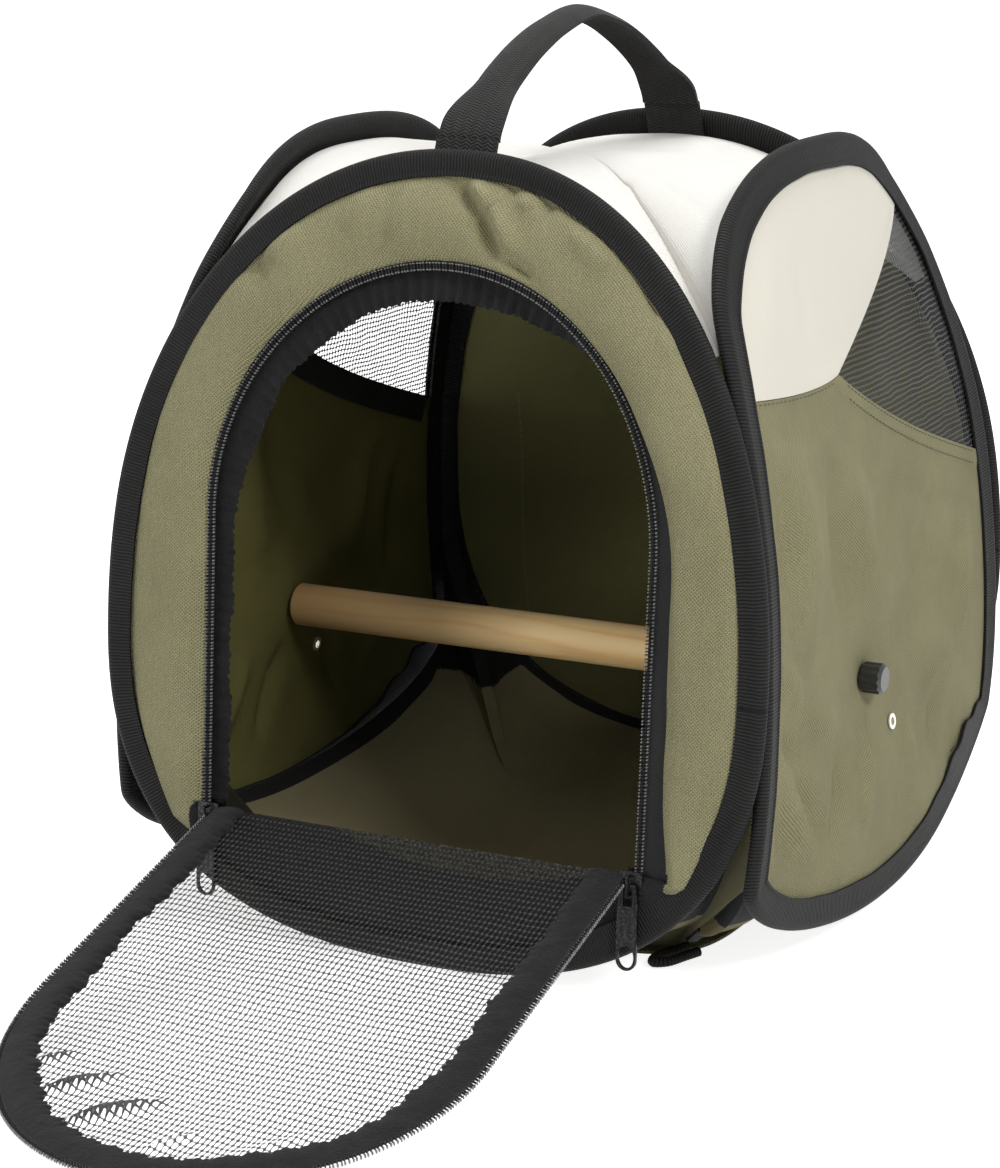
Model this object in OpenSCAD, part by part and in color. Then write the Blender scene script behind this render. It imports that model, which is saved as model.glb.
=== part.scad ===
// Bird travel carrier: four sprung hoops in webbing, fabric walls, a zipped mesh door, a wooden perch
// and a webbing handle. Front is -Y, up is +Z, the floor is z = 0. All sizes are millimetres.

/* [Hoops] */
// Width over the front and rear hoops at their widest
front_hoop_w = 277; // [266:1:286]
// Height of the front and rear hoops
front_hoop_h = 302; // [290:1:320]
// Clearance of the front and rear hoops from the floor
front_hoop_lift = 0.3; // [0.3:0.1:1]
// Height at which the front and rear hoops are widest
front_wide_z = 118; // [110:1:126]
// Roundness of the front and rear hoops above their widest
front_round_top = 2.16; // [2.05:0.01:2.4]
// Roundness of the front and rear hoops below their widest
front_round_foot = 2.36; // [2.3:0.01:2.7]
// Height of the side hoops
side_hoop_h = 296; // [286:1:312]
// Clearance of the side hoops from the floor
side_hoop_lift = 7; // [5:0.5:9]
// Height at which the side hoops are widest
side_wide_z = 62; // [56:1:76]
// Roundness of the side hoops above their widest
side_round_top = 2.77; // [2.5:0.01:3]
// Roundness of the side hoops below their widest
side_round_foot = 2.05; // [2:0.01:2.5]
// How far the upper corners of the side hoops twist inwards
side_twist_top = 20; // [10:1:24]
// How far the lower corners of the side hoops twist inwards
side_twist_foot = 11; // [4:1:14]
// Diameter of the spring wire in each hoop
wire_d = 2.8; // [2:0.1:3]
// Depth of the folded webbing on each hoop
binding_w = 12.5; // [11:0.5:15]
// Thickness of the folded webbing round the wire
binding_t = 5.6; // [5.4:0.1:7]
// Thickness of the folded webbing over the fabric
binding_leg_t = 4.2; // [4.1:0.1:5]
// Gap in the webbing that takes the fabric edge
binding_slot = 2; // [1.9:0.1:2.2]

/* [Walls] */
// Depth between the front and rear walls at the foot
bag_d = 281; // [272:1:292]
// How far the foot of each side wall stands inside the widest part of the front hoop
side_inset = 0.5; // [0:0.1:3]
// Lean of the front and rear walls in degrees
front_lean = 5.4; // [4:0.1:7]
// Height up to which the front and rear walls are straight
front_bend_z = 165; // [165:1:180]
// Extra lean of the front and rear walls at the top
front_bow = 19; // [14:1:24]
// Lean of the side walls in degrees
side_lean = 2; // [1:0.1:3]
// Height up to which the side walls are straight
side_bend_z = 110; // [100:1:125]
// Extra lean of the side walls at the top
side_bow = 29; // [25:0.5:34]
// How far the perch draws the side walls in
side_sag = 8; // [4:0.5:10]
// Thickness of the wall fabric
fabric_t = 0.8; // [0.6:0.1:0.9]
// How far the wall fabric reaches into the webbing
fabric_tuck = 6.5; // [5:0.5:7]
// How far the middle of the top lies below the top of the front hoop
top_drop = 10; // [4:1:18]
// Height at which the top starts between the hoops
top_corner_z = 238; // [232:1:246]
// Height of the seam between the lower side wall and the pale shoulder
shoulder_z = 218; // [208:1:226]
// Where the shoulder seam ends, measured back from the middle
shoulder_y = -29; // [-45:1:-15]
// Height at which the mesh window meets the rear edge of the side hoop
window_rear_z = 163; // [150:1:175]
// Height at which the mesh window meets the top of the side hoop
window_top_z = 276; // [262:1:284]
// Width of the tape along the inside of the mesh window
window_tape_w = 12; // [8:1:14]
// Half the width of the pocket on the rear wall
pocket_half_w = 92; // [80:1:96]
// Height of the pocket mouth
pocket_z = 168; // [140:1:190]
// How far the pocket stands off the rear wall
pocket_bulge = 4; // [2:0.5:8]

/* [Base] */
// Half the width of the flat base
base_half = 96; // [90:1:100]
// Thickness of the base fabric
base_t = 1.2; // [1:0.1:1.6]
// Thickness of the stiff board in the base
board_t = 2; // [1.5:0.5:3]
// Height at which the base gusset starts between the hoops
base_corner_z = 92; // [84:1:100]

/* [Door] */
// Width of the front wall between the edge of its hoop and the zip
zip_margin = 48.5; // [46.5:0.5:54.5]
// Height of the door hinge seam
hinge_z = 50; // [48:1:56]
// Height at which the sides of the zip turn into the arch
arch_z = 165; // [158:1:165]
// Height of the front wall between the top of the zip and the top of its hoop
arch_margin = 43; // [41:1:49]
// Bottom end of the zip
zip_foot_z = 41; // [41:0.5:44]
// Size of the zip coil across and through
coil_w = 2; // [1.6:0.1:2.2]
// Gap between the two coils when the door is closed
coil_gap = 2.4; // [2.2:0.1:3]
// Strip of zip tape that shows outside the coil
tape_show = 0.8; // [0.5:0.1:2]
// Width of the zip tape
tape_w = 11; // [9:0.5:13]
// Width of the facing behind the zip on the inside of the opening
facing_w = 13; // [10:0.5:16]
// Width of the border round the door mesh
door_border_w = 14; // [11:0.5:17]
// Thickness of the door border
door_border_t = 1.2; // [1:0.1:1.5]
// Thickness of the mesh
mesh_t = 0.5; // [0.4:0.1:0.7]
// Gap under the tip of the open door
door_tip_gap = 1.2; // [0.8:0.1:3]

/* [Zip sliders] */
// Width of a slider
slider_w = 9; // [8.6:0.1:9.6]
// Height of a slider
slider_h = 10; // [9.5:0.5:11]
// Thickness of each slider plate
slider_plate_t = 1.1; // [0.9:0.1:1.3]
// Length of a pull
pull_l = 32; // [26:1:33]
// Angle at which a hanging pull leans out over the hoop
pull_lean = 4; // [3:0.5:6]
// Width of a pull
pull_w = 8; // [7:0.5:8]
// Thickness of a pull
pull_t = 1.2; // [1:0.1:1.4]

/* [Perch] */
// Diameter of the dowel
perch_d = 18; // [14:0.5:20]
// Height of the dowel
perch_z = 96.6; // [94:0.1:110]
// Place of the dowel, measured back from the middle
perch_y = -11.7; // [-16:0.1:-8]
// Diameter of the perch screws
screw_d = 3.3; // [3:0.1:3.6]
// Length of a perch screw in the dowel
screw_l = 24; // [18:1:30]
// Diameter of a perch knob
knob_d = 12.6; // [11:0.1:15]
// Length of a perch knob
knob_l = 9; // [7:0.5:11]
// Flutes round a knob
knob_flutes = 12; // [8:1:16]
// Height of the spare eyelets
eyelet_z = 72.5; // [68:0.5:76]
// Place of the spare eyelets, measured back from the middle
eyelet_y = 11; // [8:0.5:16]
// Bore of an eyelet
eyelet_bore = 3.5; // [3.4:0.1:3.9]
// Diameter of an eyelet's flange
eyelet_d = 6.4; // [6:0.1:8]

/* [Handle] */
// Width of the handle webbing
strap_w = 25; // [20:1:28]
// Thickness of the handle webbing
strap_t = 1.6; // [1.2:0.1:2]
// Rise of the handle above its roots
handle_rise = 44; // [36:1:60]
// Shape of the handle arch, 2 is an ellipse and 1 a tent
handle_round = 1.5; // [1.2:0.05:1.8]

/* [Keeper] */
// Diameter of the elastic keeper loop
keeper_cord_d = 3.8; // [3:0.1:4]
// Length of the keeper loop
keeper_l = 19; // [14:1:22]
// Half the distance between the two strands of the keeper loop
keeper_half_w = 3.4; // [2.6:0.1:4]

/* [Hidden] */

OLIVE = [0.55, 0.54, 0.40];
CREAM = [0.92, 0.91, 0.85];
BLACK = [0.13, 0.13, 0.13];
STEEL = [0.62, 0.62, 0.63];
DARK_METAL = [0.25, 0.25, 0.26];
WOOD = [0.87, 0.70, 0.50];
BOARD = [0.75, 0.75, 0.72];

hoop_steps = 40;
seat = 0.3;
join = 0.4;
screw_fit = 0.05;
probe = 0.5;
bag_w = front_hoop_w - 2 * side_inset;
top_z = front_hoop_h - top_drop;
zip_half_w = front_hoop_w / 2 - zip_margin;
arch_rise = front_hoop_h - arch_margin - arch_z;
corner_inset = 3;
front_corner_inset = 8;
panel_inset = 10;
lining_gap = 2.4;
front_low_z = 38;
front_foot_bow = 5;
side_low_z = 40;
side_reach = 1.5;
corner_soft = 2;
wire_inset = 3;
nose_half = 1.4;
bore_half = 0.9;
// The twist of the side walls: where it is measured, and the heights between which it grows
twist_y = 130;
twist_top_z = 150;
twist_top_rise = 130;
twist_foot_z = 110;
twist_foot_fall = 100;
// How far from the perch its pull on the side wall reaches across, down and up
sag_across = 108;
sag_down = 72;
sag_up = 95;
inner_n = binding_t / 2 + join + fabric_t / 2 + 0.1;
tuck_inset = binding_w - fabric_tuck;

// Walls: how far a wall leans in at height z, and the point at u across, height v and n outside it

function lean_in(z, lean, low, high, top, bow, foot_bow) =
    (z - low) * tan(lean)
    + (z > high ? bow * pow((z - high) / (top - high), 2) : 0)
    + (z < low ? foot_bow * pow((low - z) / low, 2) : 0);
function front_d(z) =
    bag_d / 2 - lean_in(z, front_lean, front_low_z, front_bend_z, front_hoop_h, front_bow, front_foot_bow);
function side_d(z) =
    bag_w / 2 - lean_in(z, side_lean, side_low_z, side_bend_z, side_hoop_h + side_hoop_lift, side_bow, 0);
function side_twist(u, z) =
    pow(u / twist_y, 2)
    * (side_twist_top * pow(max(0, min(1, (z - twist_top_z) / twist_top_rise)), 2)
        + side_twist_foot * pow(max(0, (twist_foot_z - z) / twist_foot_fall), 2));
function slope(d, z) = (d(z - probe) - d(z + probe)) / (2 * probe);
front_face = function(z) front_d(z);
side_face = function(z) side_d(z);

function on_front(u, v, n = 0) =
    let (s = slope(front_face, v), k = n / norm([1, s]))
    [u, -front_d(v) - k, v + k * s];
function on_side(u, v, n = 0) =
    let (s = slope(side_face, v), k = n / norm([1, s]))
    [side_d(v) - side_twist(u, v) + k, u, v + k * s];
function sag(u, v) =
    let (reach = [(u - perch_y) / sag_across, (v - perch_z) / (v < perch_z ? sag_down : sag_up)])
    side_sag * pow(max(0, 1 - norm(reach)), 1.5);
function on_side_wall(u, v, n = 0) = on_side(u, v, n - sag(u, v));

// Hoops: closed outlines in (u, v), walked anticlockwise by angle a

function soft_min(a, b) = (a + b - sqrt(pow(a - b, 2) + pow(corner_soft, 2))) / 2;
function egg(a, half, mid, up, down, round_top, round_foot) =
    let (e = sin(a) < 0 ? round_foot : round_top, r = pow(pow(abs(cos(a)), e) + pow(abs(sin(a)), e), -1 / e))
    [half * r * cos(a), mid + (sin(a) < 0 ? down : up) * r * sin(a)];
function egg_angle(z, mid, up, down, round_top, round_foot) =
    let (e = z < mid ? round_foot : round_top, s = (z - mid) / (z < mid ? down : up))
    atan2(s, pow(1 - pow(abs(s), e), 1 / e));
function front_edge(a) =
    egg(a, front_hoop_w / 2, front_wide_z, front_hoop_h - front_wide_z, front_wide_z - front_hoop_lift,
        front_round_top, front_round_foot);
function corner_limit(v) = front_d(v) - binding_t / 2 - join;
function side_edge(a) =
    let (p = egg(a, bag_d / 2 + side_reach, side_wide_z, side_hoop_h + side_hoop_lift - side_wide_z,
            side_wide_z - side_hoop_lift, side_round_top, side_round_foot))
    [sign(p.x) * soft_min(abs(p.x), corner_limit(p.y)), p.y];
function inset(edge, a, s) =
    let (t = edge(a + probe) - edge(a - probe), n = [-t.y, t.x] / norm(t))
    edge(a) + s * n;
front_outline = function(a) front_edge(a);
side_outline = function(a) side_edge(a);
function front_in(a, s) = inset(front_outline, a, s);
function side_in(a, s) = inset(side_outline, a, s);
function front_angle(z) =
    egg_angle(z, front_wide_z, front_hoop_h - front_wide_z, front_wide_z - front_hoop_lift,
        front_round_top, front_round_foot);
function side_angle(z) =
    egg_angle(z, side_wide_z, side_hoop_h + side_hoop_lift - side_wide_z, side_wide_z - side_hoop_lift,
        side_round_top, side_round_foot);
hoop_step = 360 / hoop_steps;
function hoop_angles(from, to) =
    concat([from], [for (k = [ceil((from + 2) / hoop_step):floor((to - 2) / hoop_step)]) k * hoop_step], [to]);
function steps(a, b, count) = [for (i = [0:count]) a + (b - a) * i / count];
function reverse(list) = [for (i = [len(list) - 1:-1:0]) list[i]];
function blend(a, b, t) = a + (b - a) * t;

// Solids from grids of points

function volume_sign(points, faces) =
    let (parts = [for (f = faces, i = [1:len(f) - 2]) cross(points[f[0]], points[f[i]]) * points[f[i + 1]]])
    parts * [for (p = parts) 1];
module closed_solid(points, faces) {
    outward = volume_sign(points, faces) > 0 ? [for (f = faces) reverse(f)] : faces;
    polyhedron(points, outward);
}
function band(low, high, count) =
    [for (k = [0:count - 1])
        let (next = (k + 1) % count)
        each [[low + k, low + next, high + next], [low + k, high + next, high + k]]];
module loop_sweep(sections) {
    count = len(sections[0]);
    rings = len(sections);
    closed_solid([for (s = sections) each s],
        [for (i = [0:rings - 1]) each band(i * count, ((i + 1) % rings) * count, count)]);
}
module open_sweep(sections) {
    count = len(sections[0]);
    last = (len(sections) - 1) * count;
    closed_solid([for (s = sections) each s],
        [for (i = [0:len(sections) - 2]) each band(i * count, (i + 1) * count, count),
            [for (k = [count - 1:-1:0]) k],
            [for (k = [0:count - 1]) last + k]]);
}
// A sheet over a star-shaped outline. place(point, share, side) gives each point of its two faces
module fan_sheet(outline, centre, rings, place) {
    count = len(outline);
    layer = 1 + rings * count;
    points = [for (side = [-1, 1]) each
        [place(centre, 0, side),
            for (j = [1:rings], p = outline)
                let (share = pow(j / rings, 0.6)) place(blend(centre, p, share), share, side)]];
    low = [for (k = [0:count - 1]) [0, 1 + (k + 1) % count, 1 + k],
        for (j = [0:rings - 2]) each band(1 + j * count, 1 + (j + 1) * count, count)];
    high = [for (f = low) reverse([for (i = f) i + layer])];
    edge = layer - count;
    closed_solid(points, concat(low, high, band(edge, edge + layer, count)));
}
// A sheet between two outlines with as many points. place is as above
module ring_sheet(inner, outer, rings, place) {
    count = len(outer);
    layer = (rings + 1) * count;
    points = [for (side = [-1, 1], j = [0:rings], k = [0:count - 1])
        place(blend(inner[k], outer[k], j / rings), j / rings, side)];
    low = [for (j = [0:rings - 1]) each band(j * count, (j + 1) * count, count)];
    high = [for (f = low) reverse([for (i = f) i + layer])];
    edge = layer - count;
    closed_solid(points, concat(low, high, band(edge, edge + layer, count), band(layer, 0, count)));
}

// Hoops

module hoop_binding(outline_in, wall) {
    leg = binding_leg_t / 2;
    nose = binding_t / 2;
    slot = binding_slot / 2;
    bore = wire_d / 2 + join;
    near = wire_inset - bore;
    far = wire_inset + bore;
    section = [[binding_w, leg], [wire_inset, nose], [0, nose_half], [0, -nose_half], [wire_inset, -nose],
        [binding_w, -leg], [binding_w, -slot], [far, -slot], [wire_inset, -bore], [near, -bore_half],
        [near, bore_half], [wire_inset, bore], [far, slot], [binding_w, slot]];
    loop_sweep([for (i = [0:hoop_steps - 1])
        let (a = i * hoop_step)
        [for (p = section) let (q = outline_in(a, p.x)) wall(q.x, q.y, p.y)]]);
}
module hoop_wire(outline_in, wall) {
    loop_sweep([for (i = [0:hoop_steps - 1])
        let (a = i * hoop_step)
        [for (b = [30:60:330])
            let (q = outline_in(a, wire_inset + wire_d / 2 * cos(b)))
            wall(q.x, q.y, wire_d / 2 * sin(b))]]);
}
front_in_line = function(a, s) front_in(a, s);
side_in_line = function(a, s) side_in(a, s);
front_wall = function(u, v, n) on_front(u, v, n);
side_wall = function(u, v, n) on_side(u, v, n);
module front_hoop_wire() { color(STEEL) hoop_wire(front_in_line, front_wall); }
module rear_hoop_wire() { mirror([0, 1, 0]) front_hoop_wire(); }
module right_hoop_wire() { color(STEEL) hoop_wire(side_in_line, side_wall); }
module left_hoop_wire() { mirror([1, 0, 0]) right_hoop_wire(); }
module front_hoop_binding() { color(BLACK) hoop_binding(front_in_line, front_wall); }
module rear_hoop_binding() { mirror([0, 1, 0]) front_hoop_binding(); }
module right_hoop_binding() { color(BLACK) hoop_binding(side_in_line, side_wall); }
module left_hoop_binding() { mirror([1, 0, 0]) right_hoop_binding(); }

// Door opening: points on the arch round the zip, off outside the zip line

zip_step = 8;
zip_low_z = 95;
zip_high_z = 130;
function arch(a, off) = [(zip_half_w + off) * cos(a), arch_z + (arch_rise + off) * sin(a)];
function zip_line(off, foot) =
    [for (v = [foot, foot + zip_step, foot + 2 * zip_step, zip_low_z, zip_high_z, arch_z]) [zip_half_w + off, v],
        for (a = steps(0, 180, 24)) if (a > 0 && a < 180) arch(a, off),
        for (v = [arch_z, zip_high_z, zip_low_z, foot + 2 * zip_step, foot + zip_step, foot]) [-zip_half_w - off, v]];
function opening_outline(off, foot, side_cut = 0) =
    [for (v = steps(foot, arch_z, 4)) [zip_half_w + off - (v < foot + zip_step ? side_cut : 0), v],
        for (a = steps(0, 180, 24)) if (a > 0 && a < 180) arch(a, off),
        for (v = steps(arch_z, foot, 4)) [-zip_half_w - off + (v < foot + zip_step ? side_cut : 0), v],
        for (i = [1:7]) [blend(-zip_half_w - off + side_cut, zip_half_w + off - side_cut, i / 8), foot]];
// The point of the front hoop's outline seen in the same direction from the middle of the opening
function facing_angle(p) =
    let (a = atan2(p.y - arch_z, p.x))
    a + asin((arch_z - front_wide_z) * cos(a) / (front_hoop_h / 2));

front_sheet = function(p, share, side) on_front(p.x, p.y, side * fabric_t / 2);
module front_panel() {
    zip_show = coil_gap / 2 + coil_w + tape_show;
    hole = opening_outline(zip_show, hinge_z - seat);
    rim = [for (p = hole) front_in(facing_angle(p), tuck_inset)];
    slot_depth = 20;
    color(OLIVE) difference() {
        ring_sheet(hole, rim, 4, front_sheet);
        for (x = [-1, 1])
            translate([x * zip_half_w - zip_show, -bag_d / 2 - slot_depth / 4, zip_foot_z - probe])
                cube([2 * zip_show, slot_depth, hinge_z - zip_foot_z + 2 * probe]);
    }
}
facing_gap = 2.1;
facing_reach = 4;
function hoop_inside(v) =
    let (share = max(0, (front_wide_z - v) / (front_wide_z - front_hoop_lift - binding_w)))
    (front_hoop_w / 2 - binding_w - 1) * pow(1 - pow(share, front_round_foot), 1 / front_round_foot);
module zip_strip(from, to, low, high, foot) {
    inner = zip_line(from, foot);
    outer = [for (p = zip_line(to, foot))
        [p.y < arch_z ? sign(p.x) * min(abs(p.x), hoop_inside(p.y)) : p.x, p.y]];
    open_sweep([for (i = [0:len(inner) - 1])
        [on_front(inner[i].x, inner[i].y, low), on_front(outer[i].x, outer[i].y, low),
            on_front(outer[i].x, outer[i].y, high), on_front(inner[i].x, inner[i].y, high)]]);
}
tape_n = -coil_w / 2 - 0.1;
tape_t = 0.6;
facing_n = tape_n - tape_t - facing_gap;
module opening_zip_tape() {
    from = coil_gap / 2 + seat;
    color(BLACK) zip_strip(from, from + tape_w, tape_n - tape_t, tape_n, zip_foot_z);
}
module opening_zip_coil() {
    color(DARK_METAL)
        zip_strip(coil_gap / 2, coil_gap / 2 + coil_w, -coil_w / 2, coil_w / 2, zip_foot_z);
}
module opening_facing() {
    color(BLACK) zip_strip(-facing_w, facing_reach, facing_n - fabric_t, facing_n, hinge_z + 1);
}

// Rear wall and pocket

rear_sheet = function(p, share, side)
    let (q = on_front(p.x, p.y, side * fabric_t / 2))
    [q.x, -q.y, q.z];
module rear_panel() {
    color(OLIVE)
        fan_sheet([for (i = [1:hoop_steps]) front_in(i * hoop_step, tuck_inset)], [0, front_wide_z], 5, rear_sheet);
}
pocket_sheet = function(p, share, side)
    let (n = fabric_t + seat + pocket_bulge * (1 - share * share) + side * fabric_t / 2,
        q = on_front(p.x, p.y, n))
    [q.x, -q.y, q.z];
module rear_pocket() {
    hem = 1.5;
    foot = [for (a = steps(-133, -47, 8)) front_in(a, binding_w + hem)];
    sides = [for (t = [1 / 3, 2 / 3]) blend(foot[8], [pocket_half_w, pocket_z], t)];
    mouth = [for (x = steps(pocket_half_w, -pocket_half_w, 8)) [x, pocket_z]];
    back = [for (p = reverse(sides)) [-p.x, p.y]];
    color(OLIVE)
        fan_sheet(concat(foot, sides, mouth, back), [0, pocket_z / 2], 3, pocket_sheet);
}

// Side walls: lower panel, pale shoulder and mesh window, all on one drawn-in surface

shoulder_point = [shoulder_y, shoulder_z];
shoulder_middle = [shoulder_y - 6, shoulder_z + 34];
window_middle = [60, 214];
front_seam_rise = 4;
front_end_a = 180 - side_angle(shoulder_z + front_seam_rise);
rear_end_a = side_angle(window_rear_z);
top_end_a = side_angle(window_top_z);
front_end = side_in(front_end_a, tuck_inset);
rear_end = side_in(rear_end_a, tuck_inset);
top_end = side_in(top_end_a, tuck_inset);
side_sheet = function(p, share, side) on_side_wall(p.x, p.y, side * fabric_t / 2);
mesh_sheet = function(p, share, side) on_side_wall(p.x, p.y, side * mesh_t / 2);
module right_lower_panel() {
    drop = [0, -seat];
    rim = [for (a = hoop_angles(front_end_a, 360 + rear_end_a)) side_in(a, tuck_inset)];
    last = len(rim) - 1;
    seam = [for (t = [1 / 4:1 / 4:1]) blend(rear_end, shoulder_point, t) + drop,
        for (t = [1 / 3, 2 / 3]) blend(shoulder_point, front_end, t) + drop];
    color(OLIVE) difference() {
        fan_sheet(concat([rim[0] + drop], [for (i = [1:last - 1]) rim[i]], [rim[last] + drop], seam),
            [perch_y, perch_z], 4, side_sheet);
        at_eyelets() cylinder(r = eyelet_bore / 2 + 1, h = 2 * binding_t, center = true, $fn = 32);
    }
}
module left_lower_panel() { mirror([1, 0, 0]) right_lower_panel(); }
module right_shoulder_panel() {
    rim = [for (a = hoop_angles(top_end_a, front_end_a)) side_in(a, tuck_inset)];
    shift = [-seat, 0];
    seam = [for (t = [1 / 3, 2 / 3]) blend(front_end, shoulder_point, t),
        for (t = [0, 1 / 3, 2 / 3]) blend(shoulder_point, top_end, t) + shift];
    color(CREAM)
        fan_sheet(concat([rim[0] + shift], [for (i = [1:len(rim) - 1]) rim[i]], seam),
            shoulder_middle, 3, side_sheet);
}
module left_shoulder_panel() { mirror([1, 0, 0]) right_shoulder_panel(); }
module right_mesh_window() {
    rim = [for (a = hoop_angles(rear_end_a, top_end_a)) side_in(a, tuck_inset)];
    seam = [for (t = [1 / 3, 2 / 3, 1]) blend(top_end, shoulder_point, t),
        for (t = [1 / 4, 1 / 2, 3 / 4]) blend(shoulder_point, rear_end, t)];
    color(BLACK) fan_sheet(concat(rim, seam), window_middle, 3, mesh_sheet);
}
module left_mesh_window() { mirror([1, 0, 0]) right_mesh_window(); }
module right_window_tape() {
    n = -fabric_t / 2 - seat - 0.2;
    stop = 14;
    lift = 4;
    path = [for (t = steps(0, 1, 5)) blend(rear_end - [stop, -lift], shoulder_point, t),
        for (t = steps(0.25, 1, 3)) blend(shoulder_point, top_end - [0, stop], t)];
    color(BLACK) open_sweep([for (i = [0:len(path) - 1])
        let (t = path[min(i + 1, len(path) - 1)] - path[max(i - 1, 0)],
            across = [-t.y, t.x] / norm(t) * window_tape_w / 2,
            a = path[i] - across, b = path[i] + across)
        [on_side_wall(a.x, a.y, n), on_side_wall(b.x, b.y, n),
            on_side_wall(b.x, b.y, n - fabric_t), on_side_wall(a.x, a.y, n - fabric_t)]]);
}
module left_window_tape() { mirror([1, 0, 0]) right_window_tape(); }

// Top and base: outlines that run round the inside of all four hoops, over or under them

function ease(i, count) = min(1, min(i, count - i) * 6 / count);
function hoop_run(edge_in, wall, from, to, count, deep, corner) =
    [for (i = [0:count])
        let (a = blend(from, to, i / count), q = edge_in(a, deep - (panel_inset - corner) * (1 - ease(i, count))))
        wall(q.x, q.y, -inner_n)];
function all_round(front_run, side_run) =
    concat(front_run, side_run,
        reverse([for (p = front_run) [p.x, -p.y, p.z]]),
        reverse([for (p = side_run) [-p.x, p.y, p.z]]));
function top_outline() =
    let (a = front_angle(top_corner_z), b = side_angle(top_corner_z))
    all_round(hoop_run(front_in_line, front_wall, 180 - a, a, 11, panel_inset, front_corner_inset),
        hoop_run(side_in_line, side_wall, 180 - b, b, 11, panel_inset, corner_inset));
function base_outline(more) =
    let (a = front_angle(base_corner_z + more), b = side_angle(base_corner_z + more + 0.5))
    all_round(hoop_run(front_in_line, front_wall, 180 - a, 360 + a, 11, panel_inset + more, front_corner_inset),
        hoop_run(side_in_line, side_wall, 180 - b, 360 + b, 11, panel_inset + more, corner_inset));
module top_panel() {
    droop = 3;
    place = function(p, share, side)
        [p.x, p.y, blend(top_z, p.z, pow(share, droop - 1)) + side * fabric_t / 2];
    color(CREAM) fan_sheet(top_outline(), [0, 0, top_z], 5, place);
}
function base_shape(half) =
    [for (a = [0:9:351]) half / pow(pow(abs(cos(a)), 6) + pow(abs(sin(a)), 6), 1 / 6) * [cos(a), sin(a)]];
function base_reach(p, half) =
    let (a = atan2(p.y, p.x), r = half / pow(pow(abs(cos(a)), 6) + pow(abs(sin(a)), 6), 1 / 6))
    [r * cos(a), r * sin(a), base_t + seat + fabric_t / 2];
module base_panel() { color(OLIVE) linear_extrude(base_t) polygon(base_shape(base_half)); }
gusset_place = function(p, share, side) [p.x, p.y, p.z + side * fabric_t / 2];
gusset_hem = 4;
gusset_edge = base_half - gusset_hem;
module base_gusset() {
    rim = base_outline(0);
    color(OLIVE) ring_sheet([for (p = rim) base_reach(p, gusset_edge)], rim, 3, gusset_place);
}
board_z = base_t + fabric_t + 2 * seat;
board_inset = 6;
module base_board() {
    color(BOARD) translate([0, 0, board_z]) linear_extrude(board_t) polygon(base_shape(base_half - board_inset));
}
module floor_lining() {
    lining_z = board_z + board_t + seat + fabric_t / 2;
    place = function(p, share, side)
        [p.x, p.y, blend(lining_z, p.z, pow(share, 2.5)) + side * fabric_t / 2];
    color(OLIVE) fan_sheet(base_outline(lining_gap), [0, 0, lining_z], 4, place);
}

// Door: drawn closed on the front wall, then swung open about its hinge seam

hinge_at = on_front(0, hinge_z);
door_reach = on_front(0, arch_z + arch_rise) - hinge_at;
open_angle = 180 - atan2(door_reach.z, door_reach.y)
    + asin((hinge_z - door_tip_gap - door_border_t) / norm([door_reach.y, door_reach.z]));
module swung_open() { translate(hinge_at) rotate([open_angle, 0, 0]) translate(-hinge_at) children(); }
door_edge = -coil_gap / 2 - coil_w - seat;
corner_cut = 3.5;
hinge_gap = 1.1;
coil_start = 9;
module door_border() {
    place = function(p, share, side) on_front(p.x, p.y, side * door_border_t / 2);
    rim = opening_outline(door_edge, hinge_z + hinge_gap, corner_cut);
    hole = opening_outline(door_edge - door_border_w, hinge_z + hinge_gap + door_border_w * 0.6);
    color(BLACK) swung_open() ring_sheet(hole, rim, 1, place);
}
module door_mesh() {
    place = function(p, share, side) on_front(p.x, p.y, side * mesh_t / 2);
    rim = opening_outline(door_edge - door_border_w - seat, hinge_z + hinge_gap + door_border_w * 0.6 + seat);
    color(BLACK) swung_open() fan_sheet(rim, [0, arch_z], 4, place);
}
module door_zip_coil() {
    color(DARK_METAL) swung_open()
        zip_strip(-coil_gap / 2 - coil_w, -coil_gap / 2, -coil_w / 2, coil_w / 2, hinge_z + coil_start);
}

// Zip sliders and pulls

slider_z = zip_foot_z + 1.2 + slider_h / 2;
channel = coil_w / 2 + 0.5;
bridge_d = 1;
bridge_reach = 2.4;
pull_at = channel + slider_plate_t + 1.3;
module on_zip() { translate(on_front(zip_half_w, slider_z)) rotate([-front_lean, 0, 0]) children(); }
module slider_body() {
    back_gap = channel + 0.75;
    rounding = 2;
    module plate(y) {
        translate([0, y, 0]) rotate([90, 0, 0]) linear_extrude(slider_plate_t) difference() {
            square([slider_w, slider_h], center = true);
            for (x = [-1, 1], z = [-1, 1])
                translate([x * (slider_w / 2 - rounding / 2), z * (slider_h / 2 - rounding / 2)])
                    difference() {
                        translate([x, z] * rounding / 4) square(rounding / 2 + 0.01, center = true);
                        circle(r = rounding / 2, $fn = 24);
                    }
        }
    }
    plate(-channel);
    plate(back_gap + slider_plate_t);
    translate([-0.7, -channel - 0.01, -slider_h / 2 + 2])
        cube([1.4, channel + back_gap + 0.02, slider_h - 4]);
    for (z = [-1, 1])
        translate([-bridge_d / 2, -channel - slider_plate_t - bridge_reach, z * (slider_h / 2 - 1.5) - bridge_d / 2])
            cube([bridge_d, bridge_reach + 0.01, bridge_d]);
    translate([-bridge_d / 2, -channel - slider_plate_t - bridge_reach - bridge_d, -slider_h / 2 + 1])
        cube([bridge_d, bridge_d, slider_h - 2]);
}
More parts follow.
